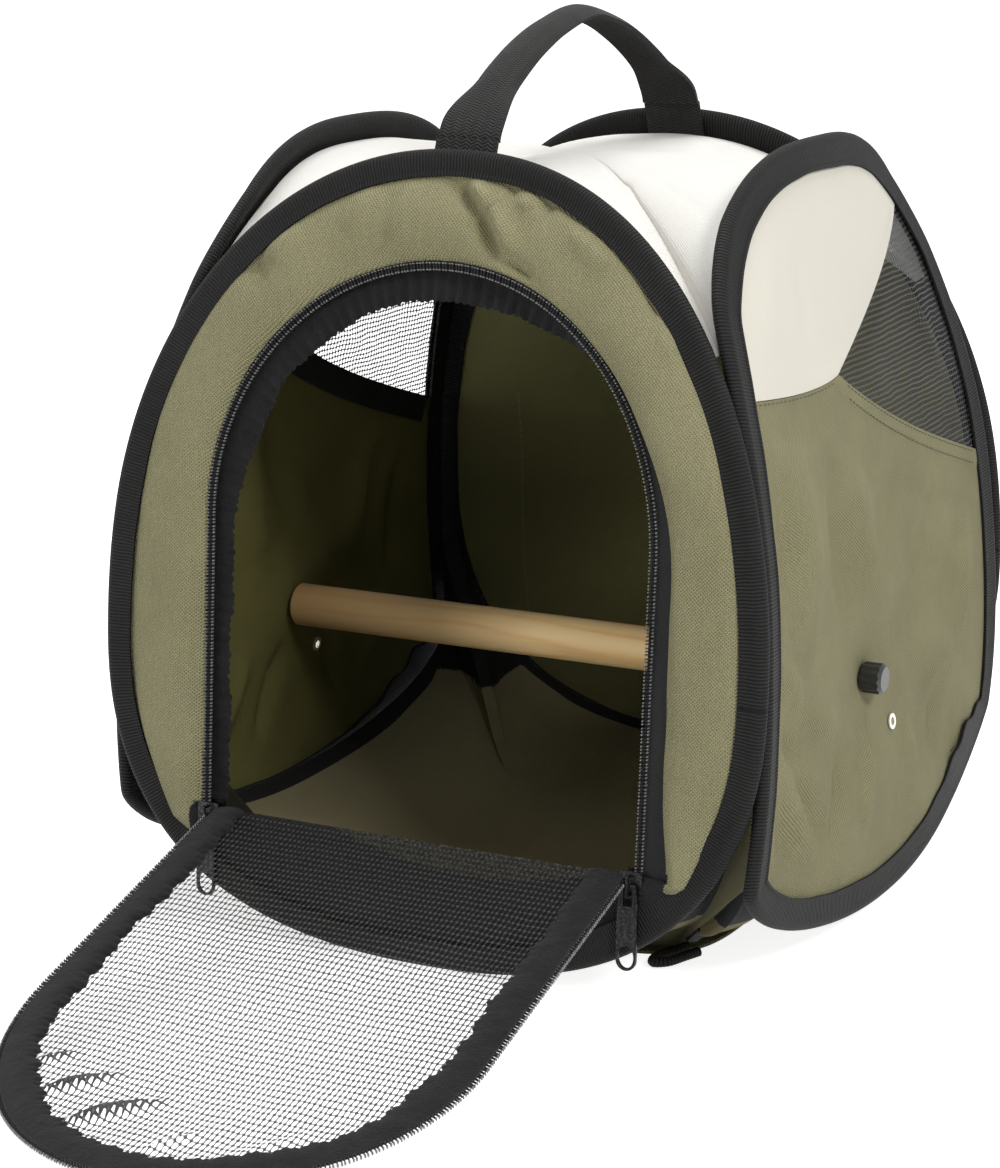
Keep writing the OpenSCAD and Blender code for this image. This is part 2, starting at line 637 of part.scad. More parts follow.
module pull_tab() {
    eye_w = 3.6;
    eye_h = 7;
    bar = 1.2;
    hole_w = pull_w - 1.8;
    hole_h = 8.5;
    rotate([90, 0, 0]) translate([0, 0, -pull_t / 2]) linear_extrude(pull_t)
        difference() {
            hull() {
                translate([0, -pull_l + pull_w / 2]) circle(d = pull_w, $fn = 48);
                translate([-2.9, bar / 2 - 1]) square([5.8, 1]);
                translate([-pull_w / 2, -eye_h]) square([pull_w, 0.1]);
            }
            translate([-eye_w / 2, -bar / 2 - eye_h]) square([eye_w, eye_h]);
            translate([0, -pull_l + hole_h / 2 + 0.9]) scale([hole_w / hole_h, 1]) circle(d = hole_h, $fn = 48);
        }
}
module right_slider() { color(DARK_METAL) on_zip() slider_body(); }
module left_slider() { mirror([1, 0, 0]) right_slider(); }
module right_pull() {
    color(DARK_METAL) on_zip() translate([0, -pull_at, 0]) rotate([front_lean - pull_lean, 0, 0]) pull_tab();
}
module left_pull() { mirror([1, 0, 0]) right_pull(); }

// Perch, its screws and knobs, and the eyelets

function wall_x(y, z) = on_side_wall(y, z).x;
perch_wall = wall_x(perch_y, perch_z);
flange_t = 0.6;
flange_gap = fabric_t / 2 + 0.5;
wall_turn = atan(wall_x(eyelet_y - probe, eyelet_z) - wall_x(eyelet_y + probe, eyelet_z));
wall_tilt = atan(wall_x(eyelet_y, eyelet_z - probe) - wall_x(eyelet_y, eyelet_z + probe));
module at_eyelets() {
    at_perch() translate([0, 0, perch_wall]) children();
    translate([wall_x(eyelet_y, eyelet_z), eyelet_y, eyelet_z])
        rotate([0, 90 - wall_tilt, wall_turn]) children();
}
module right_eyelets() {
    color(CREAM) at_eyelets() rotate_extrude($fn = 48) polygon([
        [eyelet_bore / 2, -flange_gap - flange_t], [eyelet_d / 2, -flange_gap - flange_t],
        [eyelet_d / 2, -flange_gap], [eyelet_bore / 2 + 0.6, -flange_gap],
        [eyelet_bore / 2 + 0.6, flange_gap], [eyelet_d / 2, flange_gap],
        [eyelet_d / 2, flange_gap + flange_t], [eyelet_bore / 2, flange_gap + flange_t]]);
}
module left_eyelets() { mirror([1, 0, 0]) right_eyelets(); }
perch_end = perch_wall - flange_gap - flange_t - seat;
knob_x = perch_wall + flange_gap + flange_t + seat;
module at_perch() { translate([0, perch_y, perch_z]) rotate([0, 90, 0]) children(); }
module perch() {
    chamfer = 1;
    color(WOOD) at_perch() rotate_extrude($fn = 96) polygon([
        [0, -perch_end + screw_l], [screw_d / 2 + screw_fit, -perch_end + screw_l],
        [screw_d / 2 + screw_fit, -perch_end], [perch_d / 2 - chamfer, -perch_end],
        [perch_d / 2, -perch_end + chamfer], [perch_d / 2, perch_end - chamfer],
        [perch_d / 2 - chamfer, perch_end], [screw_d / 2 + screw_fit, perch_end],
        [screw_d / 2 + screw_fit, perch_end - screw_l], [0, perch_end - screw_l]]);
}
screw_seat = 4;
module right_perch_screw() {
    tip = perch_end - screw_l + 0.5;
    color(STEEL) at_perch() translate([0, 0, tip])
        cylinder(d = screw_d, h = knob_x + screw_seat - tip, $fn = 32);
}
module left_perch_screw() { mirror([1, 0, 0]) right_perch_screw(); }
module right_knob() {
    flute = 0.45;
    bevel = 1.4;
    rim = [for (a = [0:360 / (knob_flutes * 6):359.9])
        (knob_d / 2 - flute * (1 - cos(a * knob_flutes)) / 2) * [cos(a), sin(a)]];
    color(BLACK) at_perch() translate([0, 0, knob_x]) difference() {
        intersection() {
            linear_extrude(knob_l) polygon(rim);
            rotate_extrude($fn = 64) polygon([[0, 0], [knob_d / 2 - 0.6, 0], [knob_d / 2, 1],
                [knob_d / 2, knob_l - bevel], [knob_d / 2 - bevel, knob_l], [0, knob_l]]);
        }
        translate([0, 0, -1]) cylinder(d = screw_d + 2 * screw_fit, h = screw_seat + 1.2, $fn = 32);
    }
}
module left_knob() { mirror([1, 0, 0]) right_knob(); }

// Handle

strap_n = binding_t / 2 + seat;
anchor_fall = 8;
anchor_rise = 3.4;
root_z = front_hoop_h + 2.3;
root_gap = 1.02;
root_y = front_d(front_hoop_h) - strap_n - 1.5 * strap_t - root_gap;
module handle_anchors() {
    half = strap_w / 2;
    color(BLACK) for (y = [0, 1]) mirror([0, y, 0])
        open_sweep([for (v = steps(front_hoop_h - anchor_fall, front_hoop_h + anchor_rise, 2))
            [on_front(-half, v, -strap_n), on_front(half, v, -strap_n),
                on_front(half, v, -strap_n - strap_t), on_front(-half, v, -strap_n - strap_t)]]);
}
module handle_strap() {
    e = 2 / handle_round;
    arc = function(a) [root_y * sign(cos(a)) * pow(abs(cos(a)), e), root_z + handle_rise * pow(sin(a), e)];
    stations = concat([6], steps(18, 162, 24), [174]);
    line = concat([[root_y, root_z]], [for (a = stations) arc(a)], [[-root_y, root_z]]);
    color(BLACK) open_sweep([for (i = [0:len(line) - 1])
        let (t = line[min(i + 1, len(line) - 1)] - line[max(i - 1, 0)],
            out = [t.y, -t.x] / norm(t) * strap_t / 2,
            a = line[i] - out, b = line[i] + out)
        [[-strap_w / 2, a.x, a.y], [strap_w / 2, a.x, a.y], [strap_w / 2, b.x, b.y], [-strap_w / 2, b.x, b.y]]]);
}

// Keeper under the front right corner of the base: a stitched tab and an elastic loop that lies on the floor

keeper_column = 13;
function keeper_spot(side, share, drop) =
    let (rim = base_outline(0), a = blend(rim[keeper_column], rim[keeper_column + 1], side),
        p = blend(base_reach(a, gusset_edge), a, share))
    p - [0, 0, drop];
keeper_drop = fabric_t / 2 + seat + join;
tab_from = 0.13;
tab_to = 0.31;
loop_share = 0.17;
loop_drop = 1.3;
module keeper_tab() {
    color(BLACK) open_sweep([for (share = steps(tab_from, tab_to, 2))
        [keeper_spot(0, share, keeper_drop), keeper_spot(1, share, keeper_drop),
            keeper_spot(1, share, keeper_drop + strap_t), keeper_spot(0, share, keeper_drop + strap_t)]]);
}
function curve_point(p, i, t) =
    let (a = p[max(i - 1, 0)], b = p[i], c = p[i + 1], d = p[min(i + 2, len(p) - 1)])
    b + t / 2 * (c - a + t * (2 * a - 5 * b + 4 * c - d + t * (3 * b - a - 3 * c + d)));
function curve(p, count) =
    concat([for (i = [0:len(p) - 2], k = [0:count - 1]) curve_point(p, i, k / count)], [p[len(p) - 1]]);
module keeper_loop() {
    r = keeper_cord_d / 2;
    spot = keeper_spot(0.5, loop_share, keeper_drop + strap_t + seat + r + loop_drop);
    rest = r + 0.5 - spot.z;
    along = [-0.5, -0.87, 0];
    across = [-0.87, 0.5, 0] * keeper_half_w;
    out = [for (k = [0, 0.35, 0.75]) along * keeper_l * k + [0, 0, rest * k]];
    path = concat([for (p = out) spot + across + p], [spot + along * keeper_l + [0, 0, rest]],
        reverse([for (p = out) spot - across + p]));
    line = curve(path, 3);
    color(BLACK) open_sweep([for (i = [0:len(line) - 1])
        let (t = line[min(i + 1, len(line) - 1)] - line[max(i - 1, 0)],
            side = cross(t, [0, 0, 1]) / norm(cross(t, [0, 0, 1])), up = cross(side, t) / norm(t))
        [for (a = [0:45:315]) line[i] + r * (cos(a) * side + sin(a) * up)]]);
}

front_hoop_wire();
rear_hoop_wire();
left_hoop_wire();
right_hoop_wire();
front_hoop_binding();
rear_hoop_binding();
left_hoop_binding();
right_hoop_binding();
front_panel();
rear_panel();
rear_pocket();
left_lower_panel();
right_lower_panel();
left_shoulder_panel();
right_shoulder_panel();
left_mesh_window();
right_mesh_window();
left_window_tape();
right_window_tape();
top_panel();
base_panel();
base_gusset();
base_board();
floor_lining();
opening_zip_tape();
opening_zip_coil();
opening_facing();
door_mesh();
door_border();
door_zip_coil();
left_slider();
right_slider();
left_pull();
right_pull();
perch();
left_perch_screw();
right_perch_screw();
left_knob();
right_knob();
left_eyelets();
right_eyelets();
handle_anchors();
handle_strap();
keeper_tab();
keeper_loop();
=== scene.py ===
"""Looks of the bird travel carrier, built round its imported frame.

The wall surfaces are the same as in the part's source and are worked out in millimetres.
Meshes are made in metres. Front is -Y, up is +Z.
"""
import math
from math import pi

import bpy
import numpy as np
from mathutils import Matrix, Vector
from mathutils.kdtree import KDTree


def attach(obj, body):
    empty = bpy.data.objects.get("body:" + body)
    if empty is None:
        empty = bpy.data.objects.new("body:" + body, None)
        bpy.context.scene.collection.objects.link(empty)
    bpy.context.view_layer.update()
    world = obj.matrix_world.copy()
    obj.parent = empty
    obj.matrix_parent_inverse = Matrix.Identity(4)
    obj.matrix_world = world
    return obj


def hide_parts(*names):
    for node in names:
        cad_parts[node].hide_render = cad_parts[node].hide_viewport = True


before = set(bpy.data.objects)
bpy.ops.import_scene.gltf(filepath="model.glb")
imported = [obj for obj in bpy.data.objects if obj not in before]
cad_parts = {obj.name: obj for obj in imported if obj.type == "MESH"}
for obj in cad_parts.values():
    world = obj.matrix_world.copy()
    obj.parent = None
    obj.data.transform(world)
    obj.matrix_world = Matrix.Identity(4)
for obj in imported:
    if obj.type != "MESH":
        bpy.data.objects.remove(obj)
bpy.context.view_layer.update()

MM = 0.001

# ---- Sizes, as in the part's source
FRONT_W, FRONT_H, FRONT_LIFT, FRONT_MID = 277, 302, 0.3, 118
FRONT_TOP_E, FRONT_FOOT_E = 2.16, 2.36
SIDE_H, SIDE_LIFT, SIDE_MID = 296, 7, 62
SIDE_TOP_E, SIDE_FOOT_E = 2.77, 2.05
TWIST_TOP, TWIST_FOOT = 20, 11
BIND_W, BIND_T = 12.5, 5.6
BAG_D, BAG_W = 281, 276
TUCK = BIND_W - 6.5
FABRIC = 0.8
JOIN, SEAT = 0.4, 0.3
INNER_N = BIND_T / 2 + JOIN + FABRIC / 2 + 0.1
PERCH_Y, PERCH_Z = -11.7, 96.6
ZIP_W, HINGE_Z, ARCH_Z, ARCH_RISE, ZIP_FOOT = 90, 50, 165, 94, 41
TOP_Z, TOP_CORNER, BASE_CORNER = 292, 238, 92
BASE_T, BASE_HALF = 1.2, 96


# ---- Wall surfaces: arrays of u across, height v and n outside the wall
def lean_in(z, lean, low, high, top, bow, foot_bow):
    z = np.asarray(z, float)
    return ((z - low) * math.tan(math.radians(lean))
            + bow * (np.maximum(z - high, 0) / (top - high)) ** 2
            + foot_bow * (np.maximum(low - z, 0) / low) ** 2)


def front_d(z):
    return BAG_D / 2 - lean_in(z, 5.4, 38, ARCH_Z, FRONT_H, 19, 5)


def side_d(z):
    return BAG_W / 2 - lean_in(z, 2, 40, 110, SIDE_H + SIDE_LIFT, 29, 0)


def side_twist(u, z):
    return (u / 130) ** 2 * (TWIST_TOP * np.clip((z - 150) / 130, 0, 1) ** 2
                             + TWIST_FOOT * (np.maximum(110 - z, 0) / 100) ** 2)


def slope(d, z):
    return d(z - 0.5) - d(z + 0.5)


def points(*parts):
    return np.stack(np.broadcast_arrays(*parts), -1)


def on_front(u, v, n=0):
    s = slope(front_d, v)
    k = n / np.sqrt(1 + s * s)
    return points(u, -front_d(v) - k, v + k * s)


def on_rear(u, v, n=0):
    return on_front(u, v, n) * [1, -1, 1]


def on_side(u, v, n=0):
    s = slope(side_d, v)
    k = n / np.sqrt(1 + s * s)
    return points(side_d(v) - side_twist(u, v) + k, u, v + k * s)


def sag(u, v):
    reach = np.hypot((u - PERCH_Y) / 108, (v - PERCH_Z) / np.where(v < PERCH_Z, 72, 95))
    return 8 * np.maximum(0, 1 - reach) ** 1.5


def on_wall(u, v, n=0):
    return on_side(u, v, n - sag(u, v))


def egg(a, half, mid, up, down, top_e, foot_e):
    c, s = np.cos(np.radians(a)), np.sin(np.radians(a))
    e = np.where(s < 0, foot_e, top_e)
    r = (np.abs(c) ** e + np.abs(s) ** e) ** (-1 / e)
    return half * r * c, mid + np.where(s < 0, down, up) * r * s


def egg_angle(z, mid, up, down, top_e, foot_e):
    e = foot_e if z < mid else top_e
    s = (z - mid) / (down if z < mid else up)
    return math.degrees(math.atan2(s, (1 - abs(s) ** e) ** (1 / e)))


FRONT_EGG = (FRONT_MID, FRONT_H - FRONT_MID, FRONT_MID - FRONT_LIFT, FRONT_TOP_E, FRONT_FOOT_E)
SIDE_EGG = (SIDE_MID, SIDE_H + SIDE_LIFT - SIDE_MID, SIDE_MID - SIDE_LIFT, SIDE_TOP_E, SIDE_FOOT_E)


def front_edge(a):
    return egg(a, FRONT_W / 2, *FRONT_EGG)


def side_edge(a):
    u, v = egg(a, BAG_D / 2 + 1.5, *SIDE_EGG)
    limit = front_d(v) - BIND_T / 2 - JOIN
    x = np.abs(u)
    return np.sign(u) * (x + limit - np.sqrt((x - limit) ** 2 + 4)) / 2, v


def inset(edge, a, s):
    (u0, v0), (u1, v1), (u, v) = edge(a - 0.5), edge(a + 0.5), edge(a)
    length = np.hypot(u1 - u0, v1 - v0)
    return u - s * (v1 - v0) / length, v + s * (u1 - u0) / length


def front_in(a, s):
    return inset(front_edge, a, s)


def side_in(a, s):
    return inset(side_edge, a, s)


def smooth(x, low, high):
    t = np.clip((np.asarray(x, float) - low) / (high - low), 0, 1)
    return t * t * (3 - 2 * t)


def mix(a, b, t):
    return a + (b - a) * t


WAVES = [(0.031, 0.017, 0.4), (-0.022, 0.041, 1.9), (0.053, -0.036, 3.1),
         (0.067, 0.059, 5.2), (-0.094, 0.043, 0.9), (0.112, 0.121, 2.6)]


def wander(u, v, turn=0):
    """Smooth unevenness of about -1 to 1 over a cloth, with u and v in millimetres."""
    total = 0
    for i, (a, b, c) in enumerate(WAVES):
        total = total + np.sin(a * u + b * v + c + turn * (i + 1)) / (1 + 0.5 * i)
    return total / 2.2


def folds(u, v, lines):
    """Soft ridges or grooves: each is (u0, v0, u1, v1, width, height)."""
    total = 0
    for u0, v0, u1, v1, width, height in lines:
        du, dv = u1 - u0, v1 - v0
        t = np.clip(((u - u0) * du + (v - v0) * dv) / (du * du + dv * dv), 0, 1)
        d = np.hypot(u - u0 - t * du, v - v0 - t * dv)
        total = total + height * np.exp(-((d / width) ** 2)) * np.sin(pi * np.clip(t, 0.02, 0.98)) ** 0.6
    return total


# ---- Materials
class Wire:
    """An output of a shader tree; sums and products of wires, numbers and tuples add its nodes."""

    def __init__(self, tree, socket, kind="Math"):
        self.tree, self.socket, self.kind = tree, socket, kind

    def do(self, operation, other=None):
        return self.tree.wire(self.kind, 0, self.kind, operation=operation, i0=self, i1=other)

    def __add__(self, other):
        return self.do("ADD", other)

    def __sub__(self, other):
        return self.do("SUBTRACT", other)

    def __mul__(self, other):
        return self.do("MULTIPLY", other)

    def __truediv__(self, other):
        return self.do("DIVIDE", other)

    def parts(self):
        made = self.tree.add("SeparateXYZ", Vector=self)
        return [Wire(self.tree, socket) for socket in made.outputs]

    def range(self, low, high, to_low=0, to_high=1):
        return self.tree.wire("MapRange", Value=self, From_Min=low, From_Max=high, To_Min=to_low, To_Max=to_high)

    def ramp(self, *stops):
        made = self.tree.add("ValToRGB", Fac=self)
        elements = made.color_ramp.elements
        while len(elements) < len(stops):
            elements.new(0.5)
        for element, (at, colour) in zip(elements, stops):
            element.position = at
            element.color = (*colour, 1)
        return Wire(self.tree, made.outputs[0])

    def bump(self, millimetres):
        return self.tree.wire("Bump", Strength=1, Height=self, Distance=millimetres * MM)


class Tree:
    """A shader tree that is built by short calls."""

    def __init__(self, name, store=bpy.data.materials, end="OutputMaterial"):
        self.owner = store.new(name)
        self.owner.use_nodes = True
        self.tree = self.owner.node_tree
        self.tree.nodes.clear()
        self.out = self.add(end)

    def add(self, kind, **settings):
        """Adds a node. A capital letter starts an input's name, i0 is the first input, the rest are properties."""
        made = self.tree.nodes.new("ShaderNode" + kind)
        for key, value in settings.items():
            if key[0].isupper():
                self.put(made.inputs[key.replace("_", " ")], value)
            elif key[1:].isdigit():
                self.put(made.inputs[int(key[1:])], value)
            else:
                setattr(made, key, value)
        return made

    def put(self, socket, value):
        if isinstance(value, (Wire, bpy.types.NodeSocket)):
            self.tree.links.new(getattr(value, "socket", value), socket)
        elif value is not None:
            socket.default_value = (*value, 1) if socket.type == "RGBA" else value

    def wire(self, kind, output=0, flow="Math", **settings):
        return Wire(self, self.add(kind, **settings).outputs[output], flow)

    def cloth(self):
        """Place on the cloth in millimetres, with a third number that each cloth uses in its own way."""
        return self.wire("Attribute", "Vector", "VectorMath", attribute_name="cloth")

    def place(self):
        return self.wire("TexCoord", "Object", "VectorMath")

    def noise(self, vector, scale, detail=3, rough=0.55):
        return self.wire("TexNoise", "Fac", Vector=vector, Scale=scale, Detail=detail, Roughness=rough)

    def wobble(self, vector, scale, detail=2):
        return self.wire("TexNoise", "Color", "VectorMath", Vector=vector, Scale=scale, Detail=detail)

    def blend(self, factor, a, b):
        return self.wire("Mix", 2, data_type="RGBA", clamp_factor=True, i0=factor, i6=a, i7=b)

    def surface(self, colour, roughness, normal, **more):
        return self.add("BsdfPrincipled", Base_Color=colour, Roughness=roughness, Normal=normal, **more)

    def end(self, shader):
        self.tree.links.new(shader.outputs[0], self.out.inputs[0])
        return self.owner

    def shade(self, *args, **more):
        return self.end(self.surface(*args, **more))


def woven(name, thread, gap, pitch, relief, sheen=0.03, roughness=0.85, broad_share=0.3):
    """Plain weave of flat threads; pitch is the width of one thread in millimetres.

    The third number of the cloth attribute turns the cloth black, for bound edges, and part of the way for painted
    shade.
    """
    t = Tree(name)
    spot = t.cloth()
    cloth = spot * (1, 1, 0)
    bent = cloth + t.wobble(cloth, 0.35) * (0.4, 0.4, 0)
    wave = (bent * (pi / pitch, pi / pitch, 0)).do("SINE").parts()
    weave = wave[0] * wave[1]
    fibre = t.noise(cloth, 3.5, 2)
    slub = t.noise(cloth * (0.9, 0.06, 0), 1, 2)
    broad = t.noise(cloth, 0.022)
    # the crowns of the upper threads are painted lighter, and the lower threads and the gaps between them darker:
    # painted highlight and shade on the weave
    tone = (weave.range(-1, 1, 0.1, 0.8) + (fibre - 0.5) * 0.5 + (slub - 0.5) * 0.12
            + (broad - 0.5) * broad_share)
    colour = tone.ramp((0, gap), (0.5, mix(np.array(gap), np.array(thread), 0.72)), (1, thread))
    bound_and_painted_shade = (spot.parts()[2] + (t.noise(cloth, 0.9) - 0.5) * 0.25).range(0.4, 0.6)
    height = weave + weave.do("ABSOLUTE") * 0.5 + fibre * 0.6
    return t.shade(t.blend(bound_and_painted_shade, colour, (0.008, 0.008, 0.0085)), roughness, height.bump(relief),
                   Sheen_Weight=sheen, Sheen_Roughness=0.5, Specular_IOR_Level=0.25)


def webbing(name, dark, light, rib, relief, herring=False):
    """Ribbed black webbing: x of cloth runs along it and y across, in millimetres."""
    t = Tree(name)
    cloth = t.cloth()
    along, across, _ = cloth.parts()
    if herring:
        along = along + across.do("PINGPONG", 2.2) * 0.55
    ribs = ((along + t.noise(cloth, 0.25, 2) * 0.9) * (pi / rib)).do("SINE").do("ABSOLUTE")
    threads = (across * (pi / 0.75)).do("SINE").do("ABSOLUTE")
    fibre = t.noise(cloth, 2.8)
    dust = t.noise(t.place(), 26, 4)
    # the crests of the ribs are painted lighter and the grooves between them darker: painted highlight and shade
    tone = ribs.do("POWER", 1.5) * fibre.range(0.3, 0.7, 0.45, 1.1) * dust.range(0.3, 0.75, 0.6, 1.15)
    height = ribs + threads * 0.22 + fibre * 0.35
    return t.shade(tone.ramp((0, dark), (1, light)), 0.6, height.bump(relief), Specular_IOR_Level=0.16)


def brushed(name, dark, light):
    """Fuzzy black lining cloth with a napped face."""
    t = Tree(name)
    nap = t.noise(t.cloth(), 1.1, 5, 0.7)
    cloudy = t.noise(t.cloth(), 0.12)
    tone = (nap * 0.7 + cloudy * 0.5).range(0.4, 0.85)
    return t.shade(tone.ramp((0, dark), (1, light)), 0.95, (nap + cloudy * 1.5).bump(0.6),
                   Sheen_Weight=0.08, Sheen_Roughness=0.6, Specular_IOR_Level=0.15)


def net(name, pitch_u, pitch_v, thread, knot, light):
    """Open net: black threads with knots where they cross and clear holes between.

    The third number of the cloth attribute thickens the threads, where the net is gathered.
    """
    t = Tree(name)
    cloth = t.cloth()
    bent = cloth + t.wobble(cloth, 0.12) * (1.6, 1.6, 0)
    near = (bent / (pitch_u, pitch_v, 1)).do("FRACTION") - (0.5, 0.5, 0)
    du, dv, _ = (near * (pitch_u, pitch_v, 0)).parts()
    flat = t.wire("CombineXYZ", X=du, Y=dv * 0.75)
    centre = t.wire("VectorMath", "Value", operation="LENGTH", i0=flat)
    gathered = cloth.parts()[2] * 6 + 1
    solid = centre.do("LESS_THAN", knot / 2)
    for off, width in zip((du, dv), thread):
        solid = solid.do("MAXIMUM", off.do("ABSOLUTE").do("LESS_THAN", gathered * (width / 2)))
    # the knots are painted lighter towards their middles: painted highlight
    shine = centre.range(0.1, knot * 0.55, 1, 0)
    strand = t.surface(shine.ramp((0, (0.014, 0.014, 0.014)), (1, light)), 0.45, shine.bump(0.3))
    return t.end(t.add("MixShader", i0=solid, i1=t.add("BsdfTransparent").outputs[0], i2=strand.outputs[0]))


def coated_metal(name, body, worn, roughness):
    t = Tree(name)
    scuff = t.noise(t.place(), 900, 4, 0.65)
    return t.shade(scuff.range(0.45, 0.75).ramp((0, body), (1, worn)),
                   scuff.range(0.3, 0.8, roughness, roughness + 0.25), scuff.bump(0.02),
                   Metallic=0.85, Specular_IOR_Level=0.6)


def nylon(name, body, light, roughness):
    t = Tree(name)
    grain = t.noise(t.place(), 700)
    return t.shade(grain.ramp((0.2, body), (0.9, light)), roughness, grain.bump(0.03), Specular_IOR_Level=0.55)


def wood(name):
    """Planed softwood: long pale rings along X, fine fibres and darker streaks, and a left end painted darker: painted
    shade, as it lies deep in the cabin.
    """
    t = Tree(name)
    place = t.place()
    bent = place * (3.2, 60, 60) + t.wobble(place * (6, 40, 40), 1, 3) * (1.2, 1.2, 1.2)
    rings = t.wire("TexWave", "Fac", wave_type="RINGS", rings_direction="X", Vector=bent + (0, 1.3, -5.6),
                   Scale=0.8, Distortion=0.8, Detail=2)
    fibre = t.noise(place * (26, 1100, 1100), 1, 4, 0.7)
    patch = t.noise(place * (16, 70, 70), 1, 2)
    tone = rings.do("POWER", 2.5) * 0.42 + fibre * 0.3 + (patch - 0.5) * 0.7
    colour = tone.ramp((0.05, (1, 0.73, 0.37)), (0.45, (0.98, 0.66, 0.3)), (0.95, (0.7, 0.37, 0.13)))
    # the left end, deep in the cabin, is painted darker: painted shade
    left = place.parts()[0].range(-0.12, -0.01, 0.8, 0)
    return t.shade(t.blend(left, colour, (0.36, 0.2, 0.08)), 0.5, (fibre + rings * 0.3).bump(0.06),
                   Specular_IOR_Level=0.35)


# the olive cloth: its thread colour, and the darker colour between the threads, which is painted shade
OLIVE = (0.47, 0.438, 0.248), (0.078, 0.072, 0.034)
olive = woven("olive_weave", *OLIVE, 0.66, 0.4)
# darker copies of the olive cloth for the faces inside the cabin, darkest where the least light reaches: painted shade
olive_inside_painted_shade, olive_deeper_painted_shade, olive_deepest_painted_shade = (woven(name, thread, gap, 0.5, 0.12, 0, 0.75, 0.15) for name, thread, gap in (
    ("olive_inside_painted_shade", (0.23, 0.223, 0.09), (0.088, 0.085, 0.03)),
    ("olive_deeper_painted_shade", (0.15, 0.139, 0.04), (0.058, 0.054, 0.015)),
    ("olive_deepest_painted_shade", (0.02, 0.019, 0.008), (0.01, 0.01, 0.005))))
olive_floor = woven("olive_floor", (0.32, 0.278, 0.158), (0.112, 0.096, 0.051), 0.5, 0.15, 0, 0.8, 0.2)
cream = woven("cream_weave", (0.76, 0.73, 0.645), (0.64, 0.61, 0.515), 0.4, 0.07, 0.02, 0.75, 0.12)
# a lighter copy of the cream cloth for the top, where the light falls most: painted light
cream_top_painted_light = woven("cream_top_painted_light_weave", (0.82, 0.805, 0.765), (0.71, 0.69, 0.64), 0.4, 0.07, 0.02, 0.75, 0.12)
board_fibre = woven("board_fibre", (0.55, 0.53, 0.48), (0.4, 0.38, 0.34), 1.4, 0.1)
black_rib = webbing("black_ribbed_webbing", (0.0012, 0.0012, 0.0012), (0.026, 0.0255, 0.0245), 1.3, 0.4)
black_strap = webbing("black_strap_webbing", (0.004, 0.004, 0.004), (0.045, 0.044, 0.042), 1.25, 0.4, True)
black_tape = webbing("black_zip_tape", (0.012, 0.012, 0.0125), (0.022, 0.022, 0.023), 0.7, 0.08)
black_nap = brushed("black_nap", (0.0012, 0.0012, 0.0013), (0.014, 0.014, 0.0145))
black_net = net("black_net", 1.98, 3.1, (0.26, 0.22), 0.95, (0.1, 0.1, 0.1))
window_net = net("black_window_net", 2.3, 2.1, (0.3, 0.26), 0.85, (0.12, 0.12, 0.12))
slider_metal = coated_metal("slider_metal", (0.012, 0.012, 0.013), (0.06, 0.06, 0.06), 0.28)
screw_metal = coated_metal("screw_metal", (0.55, 0.55, 0.56), (0.72, 0.72, 0.72), 0.28)
eyelet_metal = coated_metal("eyelet_metal", (0.78, 0.76, 0.66), (0.88, 0.86, 0.78), 0.35)
# the lighter finish of the zip coil's raised ends: painted highlight
zip_coil_ends_painted_highlight = nylon("zip_coil_ends_painted_highlight", (0.05, 0.05, 0.051), (0.3, 0.3, 0.3), 0.3)
knob_plastic = nylon("knob_plastic", (0.012, 0.012, 0.013), (0.022, 0.022, 0.023), 0.36)
olive_stitch = nylon("olive_stitch", (0.05, 0.047, 0.025), (0.1, 0.094, 0.055), 0.7)
inside_stitch = nylon("inside_stitch", (0.2, 0.19, 0.11), (0.34, 0.32, 0.2), 0.7)
perch_wood = wood("perch_wood")


# ---- Meshes
MIDDLE = np.array([0, 0, 130])


def make(name, verts, faces, materials, cloth=None, slots=None, sharp=40, body="carrier", node=None, slot=None):
    """An object of points in millimetres. It rides on the body and stands for the node."""
    mesh = bpy.data.meshes.new(name)
    mesh.from_pydata((np.asarray(verts, float) * MM).tolist(), [], faces)
    for material in materials if isinstance(materials, list) else [materials]:
        mesh.materials.append(material)
    mesh.polygons.foreach_set("use_smooth", np.ones(len(faces), bool))
    if slots is not None:
        mesh.polygons.foreach_set("material_index", np.asarray(slots, np.int32))
    if cloth is not None:
        made = mesh.attributes.new("cloth", "FLOAT_VECTOR", "POINT")
        made.data.foreach_set("vector", np.asarray(cloth, np.float32).ravel())
    mesh.update()
    mesh.set_sharp_from_angle(angle=math.radians(sharp))
    obj = bpy.data.objects.new(name, mesh)
    bpy.context.scene.collection.objects.link(obj)
    if body:
        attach(obj, body)
    if node:
        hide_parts(node)
    return obj


def outward(verts, faces):
    """Turns all the faces round if the closed solid they bound has a negative volume."""
    some = faces[:: max(1, len(faces) // 4000)]
    total = sum(np.dot(verts[f[0]], np.cross(verts[f[i]], verts[f[i + 1]])) for f in some for i in range(1, len(f) - 1))
    return faces if total > 0 else [f[::-1] for f in faces]


def quads(rows, count, closed):
    """Faces between rows of points."""
    return [(r * count + k, r * count + (k + 1) % count, (r + 1) * count + (k + 1) % count, (r + 1) * count + k)
            for r in range(rows - 1) for k in range(count if closed else count - 1)]


def unit(v):
    return v / np.maximum(np.linalg.norm(v, axis=-1, keepdims=True), 1e-9)


def along_line(line):
    """Unit tangents of a line of points."""
    return unit(np.gradient(np.asarray(line, float), axis=0))


def length_at(line):
    """How far along the line each of its points is."""
    return np.concatenate([[0], np.cumsum(np.linalg.norm(np.diff(line, axis=0), axis=1))])


def normals_of(grid, closed):
    across = np.roll(grid, -1, 1) - np.roll(grid, 1, 1) if closed else np.gradient(grid, axis=1)
    return unit(np.cross(across, np.gradient(grid, axis=0)))


